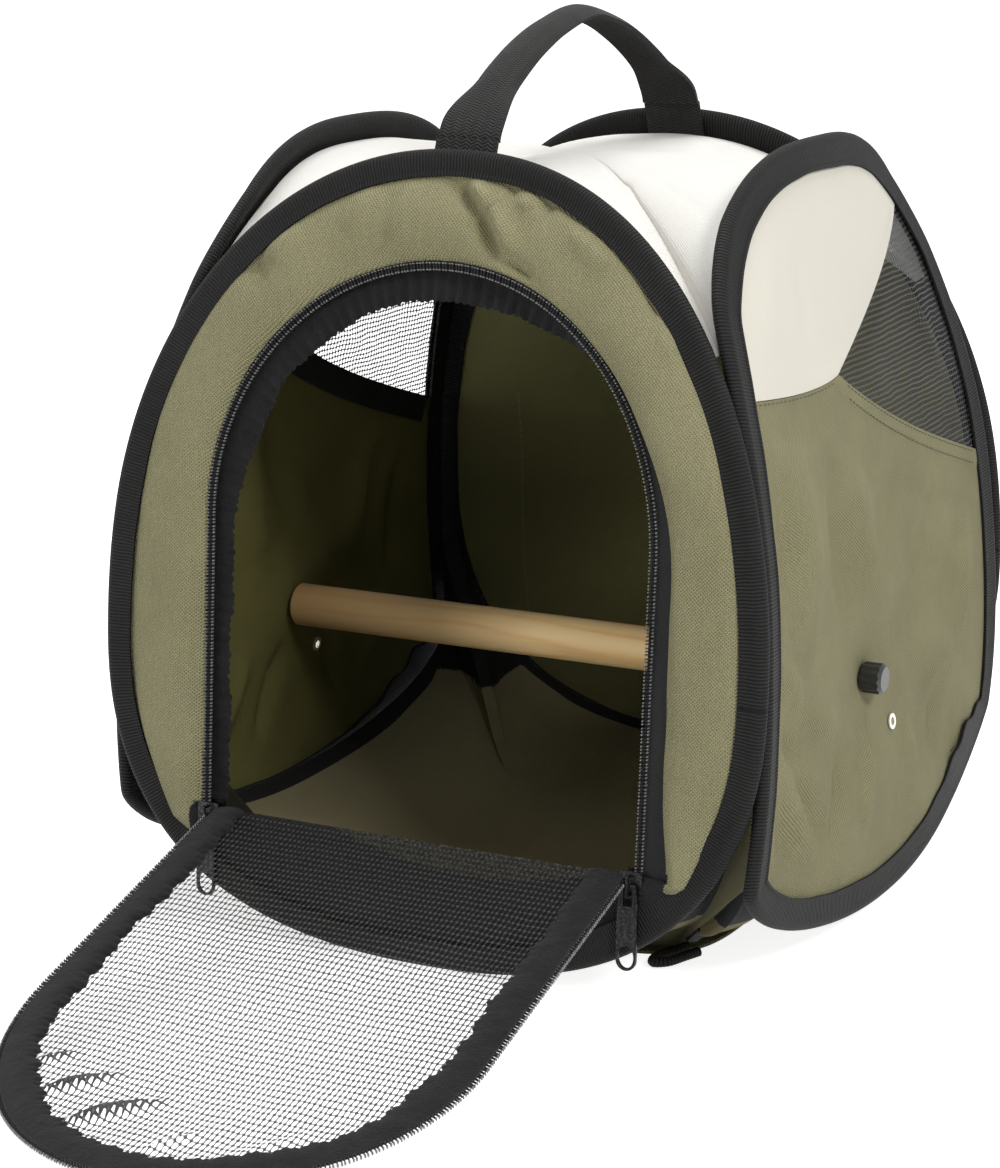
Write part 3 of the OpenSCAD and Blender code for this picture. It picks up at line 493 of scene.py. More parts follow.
def sheet(name, grid, cloth, thick, materials, closed=True, capped=False, **more):
    """A cloth with two faces. grid is rows by columns of points; capped closes the first row.

    cloth is each point's place on the flat cloth. Where two materials are given, the second is
    on the face that looks into the carrier.
    """
    rows, count, _ = grid.shape
    n = normals_of(grid, closed)
    if capped:
        n[0] = n[0].mean(0) / np.linalg.norm(n[0].mean(0))
    verts = np.concatenate([(grid + n * thick / 2).reshape(-1, 3), (grid - n * thick / 2).reshape(-1, 3)])
    total = rows * count
    upper = quads(rows, count, closed)
    lower = [tuple(i + total for i in f[::-1]) for f in upper]
    rim = []
    for row in ([] if capped else [0]) + [rows - 1]:
        for k in range(count if closed else count - 1):
            a, b = row * count + k, row * count + (k + 1) % count
            rim.append((b, a, a + total, b + total) if row else (a, b, b + total, a + total))
    for k in () if closed else (0, count - 1):
        for r in range(rows - 1):
            a, b = r * count + k, (r + 1) * count + k
            rim.append((a, b, b + total, a + total) if k else (b, a, a + total, b + total))
    caps = [tuple(range(count))[::-1], tuple(range(total, total + count))] if capped else []
    up, down = (0, 1) if np.sum(n * (grid - MIDDLE)) > 0 else (1, 0)
    slots = [up] * len(upper) + [down] * len(lower) + [0] * len(rim) + ([up, down] if capped else [])
    cloth = points(*cloth, *[0] * (3 - len(cloth)), 0 * grid[..., 0])[..., :3].reshape(-1, 3)
    return make(name, verts, upper + lower + rim + caps, materials, np.concatenate([cloth] * 2),
                slots if isinstance(materials, list) else None, **more)


def tube(name, rings, material, cloth, closed=True, **more):
    """A closed skin over rings of points; closed joins the last ring to the first."""
    count, sides, _ = rings.shape
    faces = quads(count, sides, True)
    if closed:
        base = (count - 1) * sides
        faces += [(base + k, base + (k + 1) % sides, (k + 1) % sides, k) for k in range(sides)]
    else:
        faces += [tuple(range(sides))[::-1], tuple(range((count - 1) * sides, count * sides))]
    verts = rings.reshape(-1, 3)
    return make(name, verts, outward(verts, faces), material, cloth.reshape(-1, 3), **more)


def resample(line, step=None, count=None):
    """Evenly spaced points along a line of points, and how far along it each is."""
    line = np.asarray(line, float)
    run = length_at(line)
    if count is None:
        count = max(2, int(round(run[-1] / step)) + 1)
    at = np.linspace(0, run[-1], count)
    return np.stack([np.interp(at, run, line[:, i]) for i in range(line.shape[1])], 1), at


def beads(name, spots, along, across, lift, size, material, sides=8, **more):
    """Many small rounded lumps as one mesh: size is half of each along, across and lift."""
    theta = np.linspace(0, 2 * pi, sides, endpoint=False)
    ball = [(0, 0, 1)] + [(math.sin(p) * math.cos(t), math.sin(p) * math.sin(t), math.cos(p))
                          for p in np.linspace(0, pi, 5)[1:-1] for t in theta] + [(0, 0, -1)]
    ball = np.sign(ball) * np.abs(ball) ** 0.8 * size
    one = [(0, 1 + (k + 1) % sides, 1 + k) for k in range(sides)]
    one += [tuple(1 + i for i in f) for f in quads(3, sides, True)]
    end = 1 + 3 * sides
    one += [(end, end - sides + k, end - sides + (k + 1) % sides) for k in range(sides)]
    frames = np.stack([along, across, lift], 1)
    verts = (spots[:, None] + ball @ frames).reshape(-1, 3)
    faces = [tuple(i * len(ball) + j for j in f) for i in range(len(spots)) for f in one]
    return make(name, verts, faces, material, sharp=80, **more)


def stitches(name, line, normal, material, length, gap):
    """A row of sewn stitches along a line that lies on a surface with that normal."""
    thick = 0.22
    dense, at = resample(line, 0.25)
    picks = np.arange(length / 2, at[-1], length + gap)
    index = np.searchsorted(at, picks).clip(0, len(at) - 1)
    n, _ = resample(normal, count=len(dense))
    t = along_line(dense)[index]
    up = unit(n[index])
    return beads(name, dense[index] + up * thick * 0.35, t, unit(np.cross(up, t)), up,
                 (length / 2, thick, thick), material)


# ---- Hoops: folded webbing round the spring wire
HOOP_STATIONS = 480


def hoop_section(width, ripple):
    """Cross-section of the webbing as (inset, n) points for each station."""
    nose, leg, slot = BIND_T / 2, 1.75, 0.75
    outer = [(width, leg), (width - 1.2, leg + 0.25), (width - 1.9, leg - 0.1), (width * 0.66, 2.05), (5.6, 2.35),
             (4, nose - 0.08), (2.6, nose), (1.3, nose * 0.82), (0.45, nose * 0.5), (0.05, nose * 0.16)]
    inner = [(0.9, -0.5), (1.4, -1.2), (3, -1.75), (4.6, -1.2), (5.4, -slot), (width * 0.7, -slot)]
    ring = outer + [(s, -n) for s, n in reversed(outer)] + [(width, -slot)]
    ring += [(s, n) for s, n in reversed(inner)] + [(s, -n) for s, n in inner] + [(width, slot)]
    return [(np.where(np.asarray(s) > 6, s + ripple, s), n) for s, n in ring]


def hoop_binding(hoop, line, wall, mirror, wider):
    """Webbing round one hoop; wider is what each station's width has over the CAD's."""
    a = np.arange(HOOP_STATIONS) * 360 / HOOP_STATIONS
    run = length_at(wall(*line(a, 0)))
    ripple = 0.45 * wander(run * 1.7, run * 0.9) * np.sin(pi * np.arange(HOOP_STATIONS) / HOOP_STATIONS)
    twist = 0.35 * wander(run * 0.8, run * 0.6, 0.7)
    section = hoop_section(BIND_W + wider(a), ripple)
    rings = np.stack([wall(*line(a, s), n + twist * np.clip(np.asarray(s) / 12, 0, 1)) for s, n in section], 1)
    across = length_at(np.array([[np.mean(s), np.mean(n)] for s, n in section]))
    tube(f"{hoop}_hoop_webbing", rings * mirror, black_rib, points(run[:, None], across, 0),
         node=f"{hoop}_hoop_binding", slot="webbing")


def bulge(a, middle, spread):
    return np.exp(-((a - middle) / spread) ** 2)


SIDES = {"right": np.array([1, 1, 1]), "left": np.array([-1, 1, 1])}
ENDS = {"front": np.array([1, 1, 1]), "rear": np.array([1, -1, 1])}
hoop_binding("front", front_in, on_front, ENDS["front"],
             lambda a: -1.6 - 1.2 * smooth(np.sin(np.radians(a)), 0.75, 1) + 2.6 * bulge(a, 310, 16))
hoop_binding("rear", front_in, on_front, ENDS["rear"], lambda a: 0)
for side, mirror in SIDES.items():
    hoop_binding(side, side_in, on_side, mirror, lambda a: (9.5 + 1.6 * np.sin(a / 2.1)) * bulge(a, 318, 20))


# ---- Door opening outlines
def arch_points(off, foot, count):
    """Outline of the door opening, off outside the zip line, from the right foot round to the left."""
    t = np.linspace(0, 180, 181)
    right = np.array([[ZIP_W + off, v] for v in np.linspace(foot, ARCH_Z, 60)])
    top = np.stack([(ZIP_W + off) * np.cos(np.radians(t)),
                    ARCH_Z + (ARCH_RISE + off) * np.sin(np.radians(t))], 1)[1:-1]
    return resample(np.concatenate([right, top, right[::-1] * [-1, 1]]), count=count)


def from_arch(u, v):
    """Unit steps away from the zip line: straight out beside it and radial over the arch."""
    return unit(points(u, np.where(v > ARCH_Z, v - ARCH_Z, 0)))


def fan(rim, centre, rows, start=0.015):
    """Rings from a centre out to a rim: the share of the way out, and the two coordinates."""
    t = np.linspace(start, 1, rows)[:, None]
    return t, mix(float(centre[0]), rim[None, :, 0], t), mix(float(centre[1]), rim[None, :, 1], t)


def facing_angle(u, v):
    a = np.degrees(np.arctan2(v - ARCH_Z, u))
    return a + np.degrees(np.arcsin((ARCH_Z - FRONT_MID) * np.cos(np.radians(a)) / (FRONT_H / 2)))


# ---- Front wall: puffed between the webbing and the zip, with folds over the arch
FRONT_FOLDS = [(-4, 294, 12, 280, 3.4, -3), (10, 282, 24, 266, 4, -3.4), (24, 266, 37, 258, 3.5, -2.2),
               (6, 295, 18, 281, 3, 2.6), (18, 282, 30, 266, 4, 2.6), (19, 295, 26, 286, 2.2, -2.6),
               (29, 294, 33, 282, 3.5, 2.2), (35, 291, 41, 281, 2.4, -2.4), (47, 285, 62, 277, 2.8, -2.2),
               (50, 278, 66, 264, 5, 1.8), (80, 266, 88, 248, 3.6, -2.4), (90, 258, 97, 238, 4, 1.6),
               (-84, 262, -72, 250, 6, -2.4), (-60, 272, -70, 258, 6, 1.4), (-30, 288, -40, 270, 7, 1.4),
               (-14, 290, -20, 268, 5, 1.8), (100, 176, 104, 120, 7, 1.4), (-104, 150, -106, 84, 9, 1),
               (98, 60, 106, 30, 5, -1.6)]


def front_wall():
    sides, foot_count, rows = 460, 90, 40
    rim, _ = arch_points(0, HINGE_Z - SEAT, sides)
    u, v = rim[:, 0], rim[:, 1]
    off = 4.5 + 5.5 * smooth(-v, -215, -150) * (u > 0) + 3.5 * smooth(-v, -80, -50) * (u > 0)
    rim = rim + from_arch(u, v) * (off + 0.5 * wander(v * 2.2, u))[:, None]
    foot_u = np.linspace(rim[-1, 0], rim[0, 0], foot_count + 2)[1:-1]
    hole = np.concatenate([rim, np.stack([foot_u, np.full(foot_count, HINGE_Z - SEAT)], 1)])
    a = facing_angle(hole[:, 0], hole[:, 1])
    outer = np.stack(front_in(a, TUCK), 1)
    t = np.linspace(0, 1, rows)[:, None]
    u = mix(hole[None, :, 0], outer[None, :, 0], t)
    v = mix(hole[None, :, 1], outer[None, :, 1], t)
    below = smooth(-v, -66, -46) * smooth(-np.abs(u), -104, -86)
    puff = 5.6 * np.sin(pi * t ** 0.75) ** 0.75 * (1 - 0.85 * below)
    waves = 1.8 * folds(u, v, FRONT_FOLDS) + 1.2 * wander(u, v) + 0.5 * wander(u * 2.6, v * 2.6, 1.3)
    n = puff + waves * smooth(t, 0, 0.12) * (1 - below)
    n = n * smooth(-t, -0.93, -0.74) - 0.7 * smooth(-t, -1, -0.94)
    # the strip under the hinge seam is turned black; a lens of cloth at its middle is only darkened, painted shade
    # where it lies in shadow behind the door net
    lens = HINGE_Z - 11 * np.clip(1 - ((u - 22) / 62) ** 2, 0, 1)
    foot = smooth(-np.abs(u), -100, -96) * smooth(-v, -HINGE_Z - 3, -HINGE_Z - 2)
    # the lens is darkened part of the way: painted shade
    foot = foot * (1 - 0.42 * smooth(v, lens - 1, lens + 1))
    corner = smooth(u, 92, 94) * smooth(-v, -54, -52) * smooth(103.5 + (v - 47) * 0.4 - u, 0, 1)
    dark = np.clip(foot + corner, 0, 1)
    sheet("front_wall_cloth", on_front(u, v, n), (u, v, dark), FABRIC, [olive, olive_inside_painted_shade],
          node="front_panel", slot="olive_fabric")


front_wall()


# ---- Zip of the opening: tape, coil and the napped facing behind it
def strip(name, low, high, thick, foot, count, material, lift, place=on_front, rows=8, **more):
    """A strip beside the zip line from low to high outside it; low may vary, and lift is its height."""
    base, at = arch_points(0, foot, count)
    u, v = base[:, 0], base[:, 1]
    out = from_arch(u, v)
    t = np.linspace(0, 1, rows)[:, None]
    off = mix(*(edge(at, u, v) if callable(edge) else np.full(count, float(edge)) for edge in (low, high)), t)
    grid = place(u + out[:, 0] * off, v + out[:, 1] * off, lift(t, at, u, v))
    return sheet(name, grid, (at, off), thick, material, closed=False, **more)


def tape_reach(at, u, v):
    share = np.maximum(0, (FRONT_MID - v) / (FRONT_MID - FRONT_LIFT - BIND_W))
    inside = (FRONT_W / 2 - BIND_W - 1) * (1 - share ** FRONT_FOOT_E) ** (1 / FRONT_FOOT_E)
    return np.where(v < ARCH_Z, np.minimum(ZIP_W + 12.5, inside) - ZIP_W, 12.5)


strip("opening_tape_cloth", 1.2, tape_reach, 0.6, ZIP_FOOT, 300, black_tape, lambda *_: -1.4,
      node="opening_zip_tape", slot="zip_tape")


def folded_back(u, v):
    """How far the facing is folded back into the cabin: fully at the right, in part at the left."""
    return smooth(u, 14, 84)


def facing_edge(s, u, v):
    frayed = 0.9 * wander(s * 2.6, s * 1.9) + 0.35 * np.sin(s * 1.9) + 0.3 * wander(s * 9, s * 5, 1)
    return mix(-9.6 + 5.4 * smooth(-v, -205, -140) * (u < 0) + frayed, 1, folded_back(u, v))


def facing_lift(t, s, u, v):
    crinkle = 1.2 * wander(s * 3.1, t * 30) + 0.5 * np.sin(s * 1.15 + 2 * wander(s, s)) - 0.4
    return -4 + (1 - t) * crinkle - (0.5 + 11 * folded_back(u, v)) * (1 - t) ** 1.3


strip("opening_facing_cloth", facing_edge, 4, 0.9, HINGE_Z + 1, 900, black_nap, facing_lift, rows=12,
      node="opening_facing", slot="webbing")


def teeth(name, low, high, foot, place, body, node, side=1):
    """One side of a coil zip: a loop across at each pitch, with a raised end at both sides; the ends are lighter than
    the loops, a painted highlight.
    """
    pitch = 1.32
    base, at = arch_points((low + high) / 2, foot, 1400)
    picks = np.searchsorted(at, np.arange(pitch / 2, at[-1], pitch)).clip(0, len(at) - 1)
    u, v = base[:, 0], base[:, 1]
    out = from_arch(u, v)
    middle = place(u, v, 0)
    t = along_line(middle)[picks]
    away = unit(place(u + out[:, 0], v + out[:, 1], 0) - middle)[picks]
    up = unit(np.cross(t, away)) * side
    centre = middle[picks]
    half = (high - low) / 2
    slant, turned = unit(away + 0.16 * t), unit(t - 0.16 * away)
    beads(name + "_loops", centre, slant, turned, up, (half * 0.9, pitch * 0.2, 0.55), black_tape,
          sides=10, body=body, node=node, slot="zip_coil")
    # the raised ends take a lighter, glossier finish than the black loops: painted highlight
    spots = np.concatenate([centre + slant * half * k * 0.78 for k in (-1, 1)])
    beads(name, spots, *(np.concatenate([d, d]) for d in (slant, turned, up)),
          (half * 0.22, pitch * 0.3, 0.85), zip_coil_ends_painted_highlight, body=body, slot="zip_coil")


teeth("opening_zip_teeth", 0.5, 3.7, ZIP_FOOT + 1, on_front, "carrier", "opening_zip_coil")

# ---- Door: the front surface swung open about the hinge
HINGE = on_front(0, float(HINGE_Z))
REACH = on_front(0, float(ARCH_Z + ARCH_RISE)) - HINGE
OPEN = pi - math.atan2(REACH[2], REACH[1]) + math.asin((HINGE_Z - 2.4) / math.hypot(REACH[1], REACH[2]))
SWING = np.array(Matrix.Rotation(OPEN, 3, "X"))
DOOR_EDGE = -1.2 - 2 - 0.3


def on_door(u, v, n=0):
    return (on_front(u, v, n) - HINGE) @ SWING.T + HINGE


DOOR_FOLDS = [(-62, 232, -30, 206, 2.4, 4), (-40, 244, -8, 214, 2.6, 4.6), (-72, 214, -52, 200, 2, 3),
              (2, 242, 14, 226, 2, 2.4), (30, 236, 50, 214, 3, 2)]


def door_waves(u, v):
    """Folds of the open door: it lies on the floor at its tip and rises to the hinge."""
    return -folds(u, v, DOOR_FOLDS) - 1.2 * wander(u, v, 0.3) * smooth(v, 60, 110) * smooth(-v, -258, -235)


def door_cloth():
    rim, _ = arch_points(DOOR_EDGE - 5, HINGE_Z + 1, 300)
    foot = np.stack([np.linspace(rim[-1, 0], rim[0, 0], 92)[1:-1], np.full(90, HINGE_Z + 1)], 1)
    t, u, v = fan(np.concatenate([rim, foot]), (0, 150), 46, 0.01)
    calm = smooth(-t, -1, -0.8)
    gathered = folds(u, v, [(*ends, width * 0.8, 1) for *ends, width, _ in DOOR_FOLDS[:3]]) * calm
    sheet("door_net", on_door(u, v, door_waves(u, v) * calm), (u, v, gathered), 0.3, black_net,
          capped=True, body="door", node="door_mesh", slot="black_mesh")


door_cloth()


# ---- Border of the door: napped tape with a wavy inner edge, rolled over at the coil
def border_edge(s, u, v):
    return DOOR_EDGE - 12.5 - 1.4 * wander(s * 2.3, s * 1.4, 0.5) - 0.7 * np.sin(s * 0.55) - 0.4 * np.sin(s * 1.7)


def border_lift(t, s, u, v):
    roll = 1.3 * np.sin(pi * t ** 0.7) + 0.5 * wander(s * 1.9, t * 20, 1.1) * (1 - t)
    return -0.2 - roll + door_waves(u, v) * 0.25 * (1 - t)


strip("door_border_cloth", border_edge, DOOR_EDGE + 0.6, 1.1, HINGE_Z + 1.2, 900, black_nap, border_lift,
      place=on_door, body="door", rows=12, node="door_border", slot="webbing")
teeth("door_zip_teeth", -3.4, -0.6, HINGE_Z + 6, on_door, "door", "door_zip_coil", side=-1)


# ---- Rear wall and its pocket
def rear_wall():
    a = np.arange(360)
    t, u, v = fan(np.stack(front_in(a, TUCK), 1), (0, FRONT_MID), 30)
    bow = np.sin(pi * t)
    n = bow * (1.2 * (1 - 0.6 * smooth(-v, -170, -150)) + 0.35 * wander(u, v, 1.3) - smooth(-v, -175, -160))
    sheet("rear_wall_cloth", on_rear(u, v, n), (u, v), FABRIC, [olive, olive_inside_painted_shade], capped=True,
          node="rear_panel", slot="olive_fabric")


def rear_pocket():
    half, mouth = 92, 168
    foot = np.stack(front_in(np.linspace(-133, -47, 120), BIND_W + 1.5), 1)
    corners = [foot[-1], [half, mouth], [-half, mouth], foot[0]]
    sides = [resample(ends, 2)[0][:-1] for ends in zip(corners, corners[1:])]
    t, u, v = fan(np.concatenate([foot[:-1], *sides]), (0, 84), 26)
    n = (FABRIC + 0.5 + 4 * (1 - t * t) + 0.5 * wander(u, v, 2.2) * np.sin(pi * t)
         + 0.5 * smooth(v, mouth - 10, mouth - 8))
    sheet("rear_pocket_cloth", on_rear(u, v, n), (u, v), FABRIC, olive, capped=True,
          node="rear_pocket", slot="olive_fabric")
    for k, across in enumerate((-half, half)):
        height = np.linspace(34, mouth, 80)
        stitches(f"rear_pocket_stitches_{k}", on_rear(across + 0.8 * np.sin(height / 19), height, -1.1),
                 unit(on_rear(across, height, -2) - on_rear(across, height, -1)), inside_stitch, 2.6, 0.7)


rear_wall()
rear_pocket()


# ---- Side walls: lower panel, pale shoulder and mesh window
FRONT_END_A = 180 - egg_angle(222, *SIDE_EGG)
REAR_END_A = egg_angle(163, *SIDE_EGG)
TOP_END_A = egg_angle(276, *SIDE_EGG)
SHOULDER = np.array([-29, 218])


def seam(a, b, dip, count=60):
    """A seam from a to b that hangs below the straight line by dip, more towards a."""
    t = np.linspace(0, 1, count)[:, None]
    bow = np.sin(pi * t ** 0.75)
    return mix(np.asarray(a), np.asarray(b), t) - bow * np.array([[0, dip]])


front_end = np.array(side_in(FRONT_END_A, TUCK))
rear_end = np.array(side_in(REAR_END_A, TUCK))
top_end = np.array(side_in(TOP_END_A, TUCK))
SEAM_FRONT = seam(SHOULDER, front_end, 2.5)
SEAM_WINDOW = seam(SHOULDER, rear_end, 5)
SEAM_TOP = seam(SHOULDER, top_end, 0)


def side_rim(from_a, to_a, count):
    return np.stack(side_in(np.linspace(from_a, to_a, count), TUCK), 1)


SIDE_FOLDS = [(-128, 112, -106, 78, 6, 1.5), (-110, 84, -78, 44, 6, 1.9), (-118, 78, -96, 46, 6, -1.3),
              (-98, 82, -68, 46, 6, -1.4), (-124, 130, -92, 108, 7, 1.5), (-92, 108, -54, 86, 7, 1.6),
              (-120, 104, -90, 86, 5, -1.6), (-28, 182, -4, 122, 9, 1.8), (-50, 190, -34, 120, 10, -1.8),
              (-84, 200, -78, 120, 10, 1.6), (-104, 204, -100, 130, 8, -1.6), (8, 84, 34, 48, 6, 1.6),
              (-16, 84, -30, 40, 5, 1.6), (-44, 80, -64, 40, 6, -1.6), (30, 100, 78, 84, 9, 1.4),
              (58, 160, 40, 110, 9, -1.4), (92, 140, 84, 90, 7, 1.4), (70, 76, 50, 44, 6, -1.4),
              (-112, 212, -70, 206, 5, -1), (20, 170, 80, 150, 6, -1)]


def side_folds(u, v):
    return 1.8 * wander(u, v, 0.9) + 0.9 * wander(u * 2.4, v * 2.4, 2.9) + 2.6 * folds(u, v, SIDE_FOLDS)


EYELET = (11, 72.5)


def calm_side(t, u, v, seams):
    """Less unevenness near the rim, the perch, the eyelet and the seams, where the cloth is held."""
    calm = smooth(-t, -0.95, -0.8)
    for (across, up), low, high in (((PERCH_Y, PERCH_Z), 8, 30), (EYELET, 6, 22)):
        calm = calm * smooth(np.hypot(u - across, v - up), low, high)
    if seams:
        calm = calm * smooth(distance_to(SEAM_WINDOW, u, v), 12, 30) * smooth(distance_to(SEAM_FRONT, u, v), 5, 22)
    return calm


def side_sheet(name, node, rim, centre, rows, material, thick, mirror, waves, cuts=()):
    """A cloth of a side wall. The lower one has cuts, and a hem under the window, a little proud of it."""
    t, u, v = fan(rim, centre, rows)
    n = waves(u, v) * calm_side(t, u, v, bool(cuts))
    if cuts:
        n = n + 0.55 * smooth(-distance_to(SEAM_WINDOW, u, v), -7.4, -6.6)
    obj = sheet(name, on_wall(u, v, n) * mirror, (u, v), thick, material, capped=True, body=None)
    if cuts:
        cut_holes(obj, cuts)
    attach(obj, "carrier")
    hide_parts(node)


def cut_holes(obj, cuts):
    """Cuts round holes through the cloth: each cut is (centre, axis, radius) in millimetres.

    The cut loses the places on the cloth, so each point takes that of the nearest old one.
    """
    mesh = obj.data
    before = KDTree(len(mesh.vertices))
    for vertex in mesh.vertices:
        before.insert(vertex.co, vertex.index)
    before.balance()
    old = [tuple(item.vector) for item in mesh.attributes["cloth"].data]
    for centre, axis, radius in cuts:
        bpy.ops.mesh.primitive_cylinder_add(vertices=32, radius=radius * MM, depth=10 * MM,
                                            location=Vector(centre * MM))
        tool = bpy.context.object
        tool.rotation_mode = "QUATERNION"
        tool.rotation_quaternion = Vector(axis).to_track_quat("Z", "Y")
        cutter = obj.modifiers.new("hole", "BOOLEAN")
        cutter.operation, cutter.solver, cutter.object = "DIFFERENCE", "EXACT", tool
        bpy.context.view_layer.objects.active = obj
        bpy.ops.object.modifier_apply(modifier=cutter.name)
        bpy.data.objects.remove(tool)
    if "cloth" in obj.data.attributes:
        obj.data.attributes.remove(obj.data.attributes["cloth"])
    places = [old[before.find(vertex.co)[1]] for vertex in obj.data.vertices]
    kept = obj.data.attributes.new("cloth", "FLOAT_VECTOR", "POINT")
    kept.data.foreach_set("vector", np.array(places, np.float32).ravel())


def distance_to(line, u, v):
    """Distance of each point to a line of points."""
    best = None
    for p, q in zip(line[:-1:4], line[4::4]):
        du, dv = q - p
        t = np.clip(((u - p[0]) * du + (v - p[1]) * dv) / (du * du + dv * dv), 0, 1)
        d = np.hypot(u - p[0] - t * du, v - p[1] - t * dv)
        best = d if best is None else np.minimum(best, d)
    return best


def shoulder_waves(u, v):
    return 0.8 * wander(u, v, 1.7) + folds(u, v, [(-60, 270, -80, 236, 6, 0.9), (-40, 268, -48, 232, 6, -0.7)])


def window_waves(u, v):
    return 1.6 * wander(u, v, 2.1) + folds(u, v, [(10, 214, 96, 176, 6, -1.6), (60, 250, 84, 200, 7, 1.4)])


def window_tape(side, mirror):
    line, at = resample(np.concatenate([SEAM_WINDOW[::-1][4:], SEAM_TOP[1:-6]]), 2)
    along = along_line(line)
    t = np.linspace(-0.6, 11.4, 9)[:, None]
    u, v = line[:, 0] - along[:, 1] * t, line[:, 1] + along[:, 0] * t
    sheet(f"{side}_window_tape_cloth", on_wall(u, v, -1.3) * mirror, (at, t), 0.8, black_rib,
          closed=False, node=f"{side}_window_tape", slot="webbing")


def side_wall(side, mirror):
    u, v = EYELET
    facing = unit(np.cross(on_wall(u + 1, v) - on_wall(u - 1, v), on_wall(u, v + 1) - on_wall(u, v - 1)))
    holes = [(on_wall(u, v) * mirror, facing * mirror, 2.4),
             (on_wall(PERCH_Y, PERCH_Z) * mirror, np.array([1, 0, 0]), 2.4)]
    drop, shift = np.array([[0, -0.3]]), np.array([[-0.3, 0]])
    rim = np.concatenate([side_rim(FRONT_END_A, 360 + REAR_END_A, 300), (SEAM_WINDOW[::-1] + drop)[1:-1],
                          (SEAM_FRONT + drop)[:-1]])
    # the left wall's inside takes the deeper copy of the olive: painted shade, as less light reaches it
    side_sheet(f"{side}_lower_cloth", f"{side}_lower_panel", rim, (PERCH_Y, PERCH_Z), 60,
               [olive, olive_inside_painted_shade if side == "right" else olive_deeper_painted_shade], FABRIC, mirror, side_folds, holes)
    rim = np.concatenate([side_rim(TOP_END_A, FRONT_END_A, 120), SEAM_FRONT[::-1][1:-1], (SEAM_TOP + shift)[:-1]])
    side_sheet(f"{side}_shoulder_cloth", f"{side}_shoulder_panel", rim, (-35, 252), 22,
               cream, FABRIC, mirror, shoulder_waves)
    rim = np.concatenate([side_rim(REAR_END_A, TOP_END_A, 90), SEAM_TOP[::-1][1:-1], SEAM_WINDOW[:-1]])
    side_sheet(f"{side}_window_net", f"{side}_mesh_window", rim, (60, 214), 22,
               window_net, 0.3, mirror, window_waves)
    window_tape(side, mirror)
    for row, (line, below, lift) in enumerate([(SEAM_WINDOW, 1.6, 1.05), (SEAM_WINDOW, 6.4, 1.05),
                                               (SEAM_FRONT, 1.4, 0.5)]):
        line = line[2:-4] - [0, below * 1.05]
        u, v = line[:, 0], line[:, 1]
        stitches(f"{side}_seam_stitches_{row}", on_wall(u, v, lift) * mirror,
                 unit(on_wall(u, v, 2) - on_wall(u, v, 1)) * mirror, olive_stitch, 2.4, 0.9)


for side, mirror in SIDES.items():
    side_wall(side, mirror)


# ---- Top, base gusset and lining: outlines that run round the inside of all four hoops
def ease(i, count):
    return np.minimum(1, np.minimum(i, count - i) * 6 / count)


def hoop_run(line, wall, from_a, to_a, count, deep, corner):
    i = np.arange(count + 1)
    q = line(mix(from_a, to_a, i / count), deep - (10 - corner) * (1 - ease(i, count)))
    return wall(q[0], q[1], -INNER_N)


def all_round(front_z, side_z, turn, count, deep):
    """Outline inside the hoops from corner to corner; turn is 360 where it runs under the carrier."""
    a, b = egg_angle(front_z, *FRONT_EGG), egg_angle(side_z, *SIDE_EGG)
    front_run = hoop_run(front_in, on_front, 180 - a, turn + a, count, deep, 8)
    side_run = hoop_run(side_in, on_side, 180 - b, turn + b, count, deep, 3)
    return np.concatenate([front_run, side_run, (front_run * [1, -1, 1])[::-1], (side_run * [-1, 1, 1])[::-1]])


def base_outline(more, count):
    return all_round(BASE_CORNER + more, BASE_CORNER + more + 0.5, 360, count, 10 + more)


def squarish(half, angle):
    c, s = np.abs(np.cos(angle)), np.abs(np.sin(angle))
    return half / (c ** 6 + s ** 6) ** (1 / 6)


def base_rim(half, angle):
    """Points of the base's outline at those angles round the middle."""
    r = squarish(half, angle)
    return r * np.cos(angle), r * np.sin(angle)


def top_cloth():
    rim = all_round(TOP_CORNER, TOP_CORNER, 0, 90, 10)
    t, x, y = fan(rim, (0, 0), 34, 0.012)
    ridge = folds(x, y, [(-13, -84, -60, -30, 6, 1.8), (13, -84, 58, -28, 6, 1.6), (-13, 84, -52, 34, 6, 1.6),
                         (13, 84, 60, 30, 6, 1.8), (-60, -60, 10, -20, 9, -1.6), (0, -70, 6, 60, 12, 1.2),
                         (40, -40, 80, 40, 10, -1.6), (-70, 10, -10, 40, 10, 1.4)])
    z = mix(float(TOP_Z), rim[:, 2], t ** 2) + (ridge + 1.1 * wander(x, y, 0.6)) * np.sin(pi * t) ** 0.6
    sheet("top_cloth", points(x, y, z), (x, y), FABRIC, cream_top_painted_light, capped=True,
          node="top_panel", slot="cream_fabric")


top_cloth()
FOOT_Z = BASE_T + SEAT + FABRIC / 2


def base_gusset():
    rim = base_outline(0, 90)
    a = np.arctan2(rim[:, 1], rim[:, 0])
    t = np.linspace(0, 1, 24)[:, None]
    grid = mix(points(*base_rim(BASE_HALF - 4, a), FOOT_Z), rim, t[..., None])
    waves = (0.8 * wander(grid[..., 0], grid[..., 1] + grid[..., 2], 1.5)
             + 0.9 * np.sin(a * 14 + 1) * t) * np.sin(pi * t)
    grid = grid + normals_of(grid, True) * waves[..., None]
    # the inside face of the gusset takes the darkest copy of the olive: painted shade
    sheet("base_gusset_cloth", grid, (length_at(rim), t * 90), FABRIC, [olive, olive_deepest_painted_shade],
          node="base_gusset", slot="olive_fabric")


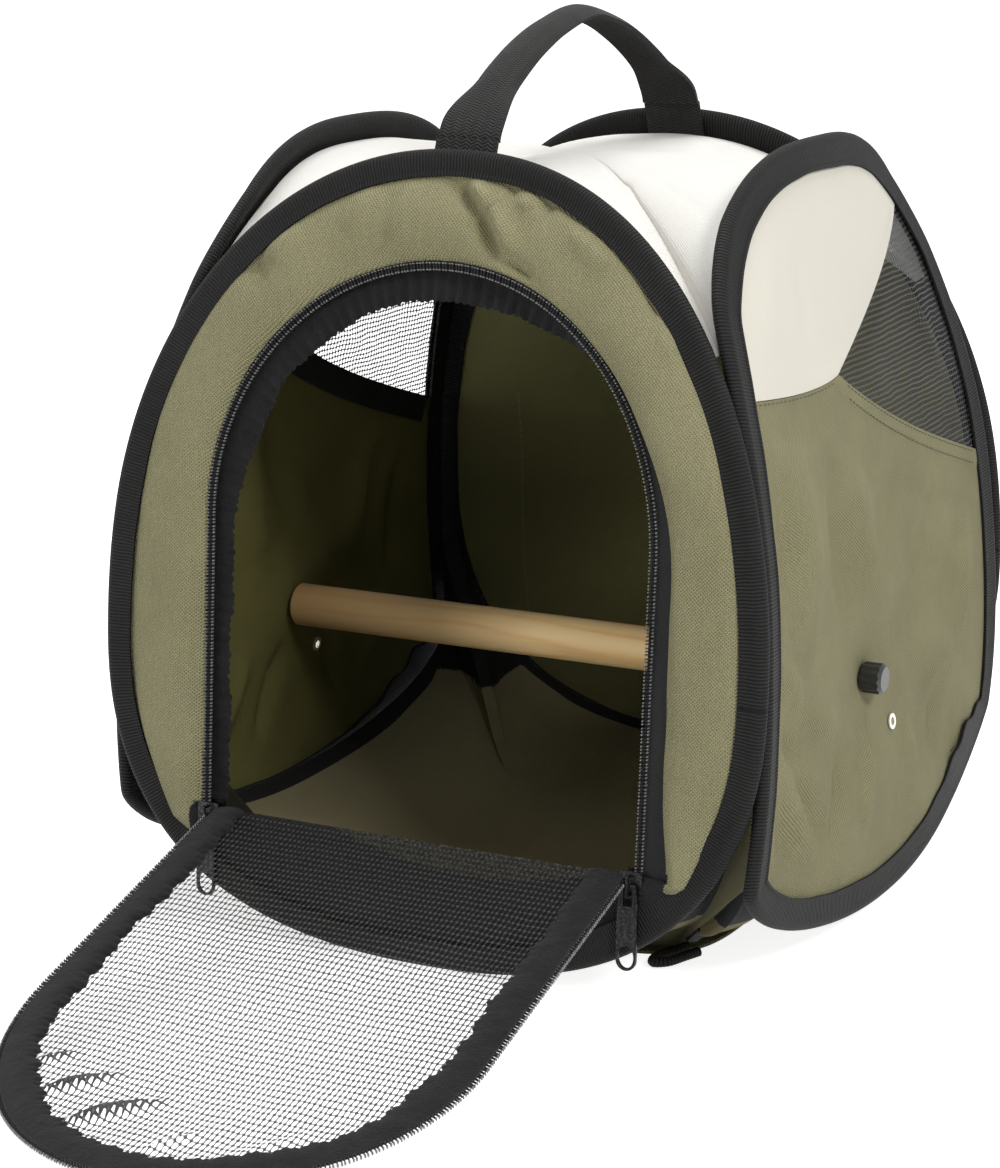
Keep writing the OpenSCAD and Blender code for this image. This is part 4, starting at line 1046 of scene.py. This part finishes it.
def floor_lining():
    """The lining over the board, which rises to the walls and is bound in black there; up the corners it is black too,
    from lower at the front than at the rear.
    """
    flat_z = BASE_T + FABRIC + 2 * SEAT + 2 + SEAT + FABRIC / 2
    rim = base_outline(2.4, 90)
    x_rim, y_rim, z_rim = rim.T
    t = np.linspace(0.1, 1, 70)[:, None] ** 0.8
    t[0] = 0.02
    x, y = x_rim * t, y_rim * t
    low = smooth(z_rim, 24, 40) * (y_rim < 0)
    z = (mix(flat_z, z_rim, t ** (2.5 + 4 * low) * smooth(t, 0.45, 0.75))
         + 0.7 * (1 + wander(x, y, 1.1)) * np.sin(pi * t))
    far = np.linalg.norm(points(x, y, z) - rim, axis=2)
    width = 8.5 + 1.6 * wander(np.arange(len(rim)) * 2, far * 0.2)
    dark = np.maximum(1 - smooth(far, width, width + 1), smooth(z - 13 * (y_rim > 0), 23, 25))
    sheet("floor_lining_cloth", points(x, y, z), (x, y, dark), FABRIC, olive_floor,
          capped=True, node="floor_lining", slot="olive_fabric")


def base_panel():
    rim_x, rim_y = base_rim(BASE_HALF, np.linspace(0, 2 * pi, 240, endpoint=False))
    t = np.linspace(0.01, 1, 12)[:, None]
    x, y = rim_x * t, rim_y * t
    sheet("base_panel_cloth", points(x, y, BASE_T / 2), (x, y), BASE_T, olive, capped=True,
          node="base_panel", slot="olive_fabric")


base_gusset()
floor_lining()
base_panel()


# ---- Handle: webbing anchors and a strap whose edges curl down between its roots
def handle():
    strap_n = BIND_T / 2 + SEAT
    thick, half = 1.6, 12.5
    v = np.linspace(FRONT_H - 12, FRONT_H + 4.8, 12)[:, None]
    u = np.linspace(-half, half, 15)
    for end, mirror in ENDS.items():
        sheet(f"handle_anchor_{end}", on_front(u, v, -strap_n - thick / 2) * mirror, (v, u), thick,
              black_strap, closed=False, node="handle_anchors" if end == "front" else None, slot="webbing")
    root_z = FRONT_H + 2.3
    root_y = float(front_d(FRONT_H)) - strap_n - 1.5 * thick - 3.4 * SEAT
    t = np.radians(np.linspace(0, 180, 181))
    line = np.stack([root_y * np.sign(np.cos(t)) * np.abs(np.cos(t)) ** (2 / 1.5),
                     root_z + 44 * np.sin(t) ** (2 / 1.5)], 1)
    line, at = resample(line, 1.5)
    along = along_line(line)
    middle = smooth(at, 6, 34) * smooth(-at, -at[-1] + 6, -at[-1] + 34)
    x = np.linspace(-1, 1, 17)[:, None]
    curl = 3.4 * middle * x ** 2 - 0.25 * wander(at * 3, x * 20, 0.3)
    u = x * (half - 3.6 * middle)
    y = line[:, 0] - along[:, 1] * curl
    z = np.maximum(line[:, 1] + along[:, 0] * curl, root_z)
    sheet("handle_strap_webbing", points(u, y, z), (at, u), thick * 0.9, black_strap, closed=False,
          body="handle", node="handle_strap", slot="webbing")


handle()


# ---- Keeper: stitched tab and elastic loop
def keeper():
    rim = base_outline(0, 11)
    a, b = rim[13], rim[14]

    def spot(side, share, drop):
        p = mix(a, b, side)
        return mix(np.array([*base_rim(BASE_HALF - 4, math.atan2(p[1], p[0])), FOOT_Z]), p, share) - [0, 0, drop]

    drop = FABRIC / 2 + SEAT + 0.4
    across, up = np.linspace(0, 1, 12), np.linspace(0.13, 0.31, 14)
    grid = np.array([[spot(x, y, drop + 0.8) for y in up] for x in across])
    wide, high = np.linalg.norm(grid[-1, 0] - grid[0, 0]), np.linalg.norm(grid[0, -1] - grid[0, 0])
    sheet("keeper_tab_webbing", grid, (across[:, None] * wide, (up - 0.13) / 0.18 * high), 1.5,
          black_rib, closed=False, node="keeper_tab", slot="webbing")
    r = 1.9
    root = spot(0.5, 0.17, drop + 1.6 + SEAT + r + 1.3)
    rest = r + 0.5 - root[2]
    along, across = np.array([-0.5, -0.87, 0]), np.array([-0.87, 0.5, 0]) * 3.4
    out = [along * 19 * k + np.array([0, 0, rest * k]) for k in (0, 0.35, 0.75)]
    path = ([root + across + p for p in out] + [root + along * 19 + np.array([0, 0, rest])]
            + [root - across + p for p in reversed(out)])
    line = []
    for i in range(len(path) - 1):
        p0, p1, p2, p3 = path[max(i - 1, 0)], path[i], path[i + 1], path[min(i + 2, len(path) - 1)]
        for t in np.linspace(0, 1, 10, endpoint=False):
            line.append(p1 + t / 2 * (p2 - p0 + t * (2 * p0 - 5 * p1 + 4 * p2 - p3 + t * (3 * p1 - p0 - 3 * p2 + p3))))
    line.append(path[-1])
    line, at = resample(line, 0.45)
    tangent = along_line(line)
    side = unit(np.cross(tangent, [0, 0, 1]))
    up = unit(np.cross(side, tangent))
    angle = np.linspace(0, 2 * pi, 16, endpoint=False)
    ribs = r * (0.97 + 0.06 * np.abs(np.sin(at * pi / 1.35)))[:, None, None]
    rings = line[:, None] + ribs * (np.cos(angle)[None, :, None] * side[:, None]
                                    + np.sin(angle)[None, :, None] * up[:, None])
    loop = tube("keeper_loop_elastic", rings, black_rib, points(at[:, None], angle * r, 0),
                closed=False, node="keeper_loop", slot="elastic")
    return loop, line, at[-1]


keeper_loop, keeper_line, keeper_length = keeper()

# ---- The names of the hoop bindings, and the keeper loop's start, length and line in metres, which are worked out and not kept
HOOPS = ["front_hoop_binding", "rear_hoop_binding", "left_hoop_binding", "right_hoop_binding"]
keeper_line[0] * MM
keeper_length * MM
keeper_line * MM

# ---- CAD pieces that keep their own shape
for material, nodes in (
        (screw_metal, [*(hoop.replace("binding", "wire") for hoop in HOOPS), "left_perch_screw", "right_perch_screw"]),
        (knob_plastic, ["left_knob", "right_knob"]), (eyelet_metal, ["left_eyelets", "right_eyelets"]),
        (slider_metal, ["left_slider", "right_slider", "left_pull", "right_pull"]),
        (board_fibre, ["base_board"]), (perch_wood, ["perch"])):
    for node in nodes:
        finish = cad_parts[node].data.materials
        finish.clear()
        finish.append(material)


# ---- Floor, light and camera
PALE = (0.84, 0.84, 0.84), (0.86, 0.86, 0.86)
FLOOR_GLOW, WORLD_LIGHT = 0.85, 0.36
LAMPS = (("key", (1.2, -0.75, 1.15), (0, 0, 0.13), 0.4, 14.8),
         ("front", (-0.9, -1.8, 0.55), (0, 0, 0.12), 0.7, 9.8),
         ("top", (-0.1, 0.3, 1.9), (0, 0, 0.2), 1.2, 24))


def seen(t):
    """1 for the rays that see the background: straight, in a mirror or through something clear."""
    path = t.add("LightPath").outputs
    mirrored = Wire(t, path["Is Glossy Ray"]).do("MAXIMUM", path["Is Transmission Ray"])
    return Wire(t, path["Is Camera Ray"]).do("MAXIMUM", mirrored)


def stage_and_light():
    t = Tree("pale_floor")
    plain = t.surface(t.noise(t.place(), 18.0).ramp((0.0, PALE[0]), (1.0, PALE[1])), 0.9, None,
                      Specular_IOR_Level=0.1)
    glow = t.add("Emission", Color=(1, 1, 1), Strength=seen(t) * FLOOR_GLOW)
    bpy.ops.mesh.primitive_plane_add(size=40, location=(0, 0, 0))
    floor = bpy.context.object
    floor.name = "floor"
    floor.data.materials.append(t.end(t.add("AddShader", i0=plain.outputs[0], i1=glow.outputs[0])))
    world = Tree("studio", bpy.data.worlds, "OutputWorld")
    light = world.add("Background", Color=(0.98, 0.99, 1.0), Strength=WORLD_LIGHT)
    white = world.add("Background", Color=(1, 1, 1), Strength=1.0)
    bpy.context.scene.world = world.end(
        world.add("MixShader", i0=seen(world), i1=light.outputs[0], i2=white.outputs[0]))
    for name, place, aim, size, power in LAMPS:
        lamp = bpy.data.lights.new(name, "AREA")
        lamp.energy, lamp.size = power, size
        obj = bpy.data.objects.new(name, lamp)
        obj.location = place
        obj.rotation_mode = "QUATERNION"
        obj.rotation_quaternion = (Vector(aim) - Vector(place)).to_track_quat("-Z", "Y")
        bpy.context.scene.collection.objects.link(obj)


stage_and_light()
# the camera that fits all four hoops, the perch, the eyelets and the opening in the photograph
AZIMUTH, ELEVATION, ROLL = (math.radians(a) for a in (25.02, 16.11, 0.18))
LENS, SHIFT, CAMERA_AT = 87.6, (-0.1009, 0.0722), (0.4937, -1.0182, 0.4075)


def camera():
    back = Vector((math.sin(AZIMUTH) * math.cos(ELEVATION), -math.cos(AZIMUTH) * math.cos(ELEVATION),
                   math.sin(ELEVATION)))
    right = Vector((math.cos(AZIMUTH), math.sin(AZIMUTH), 0))
    up = back.cross(right)
    right, up = right * math.cos(ROLL) + up * math.sin(ROLL), up * math.cos(ROLL) - right * math.sin(ROLL)
    data = bpy.data.cameras.new("camera")
    data.sensor_width, data.lens = 36, LENS
    data.shift_x, data.shift_y = SHIFT
    data.clip_start, data.clip_end = 0.05, 50
    obj = bpy.data.objects.new("camera", data)
    spin = Matrix((right, up, back)).transposed()
    obj.matrix_world = Matrix.Translation(Vector(CAMERA_AT)) @ spin.to_4x4()
    bpy.context.scene.collection.objects.link(obj)
    bpy.context.scene.camera = obj


camera()
bpy.context.scene.view_settings.view_transform = "Standard"
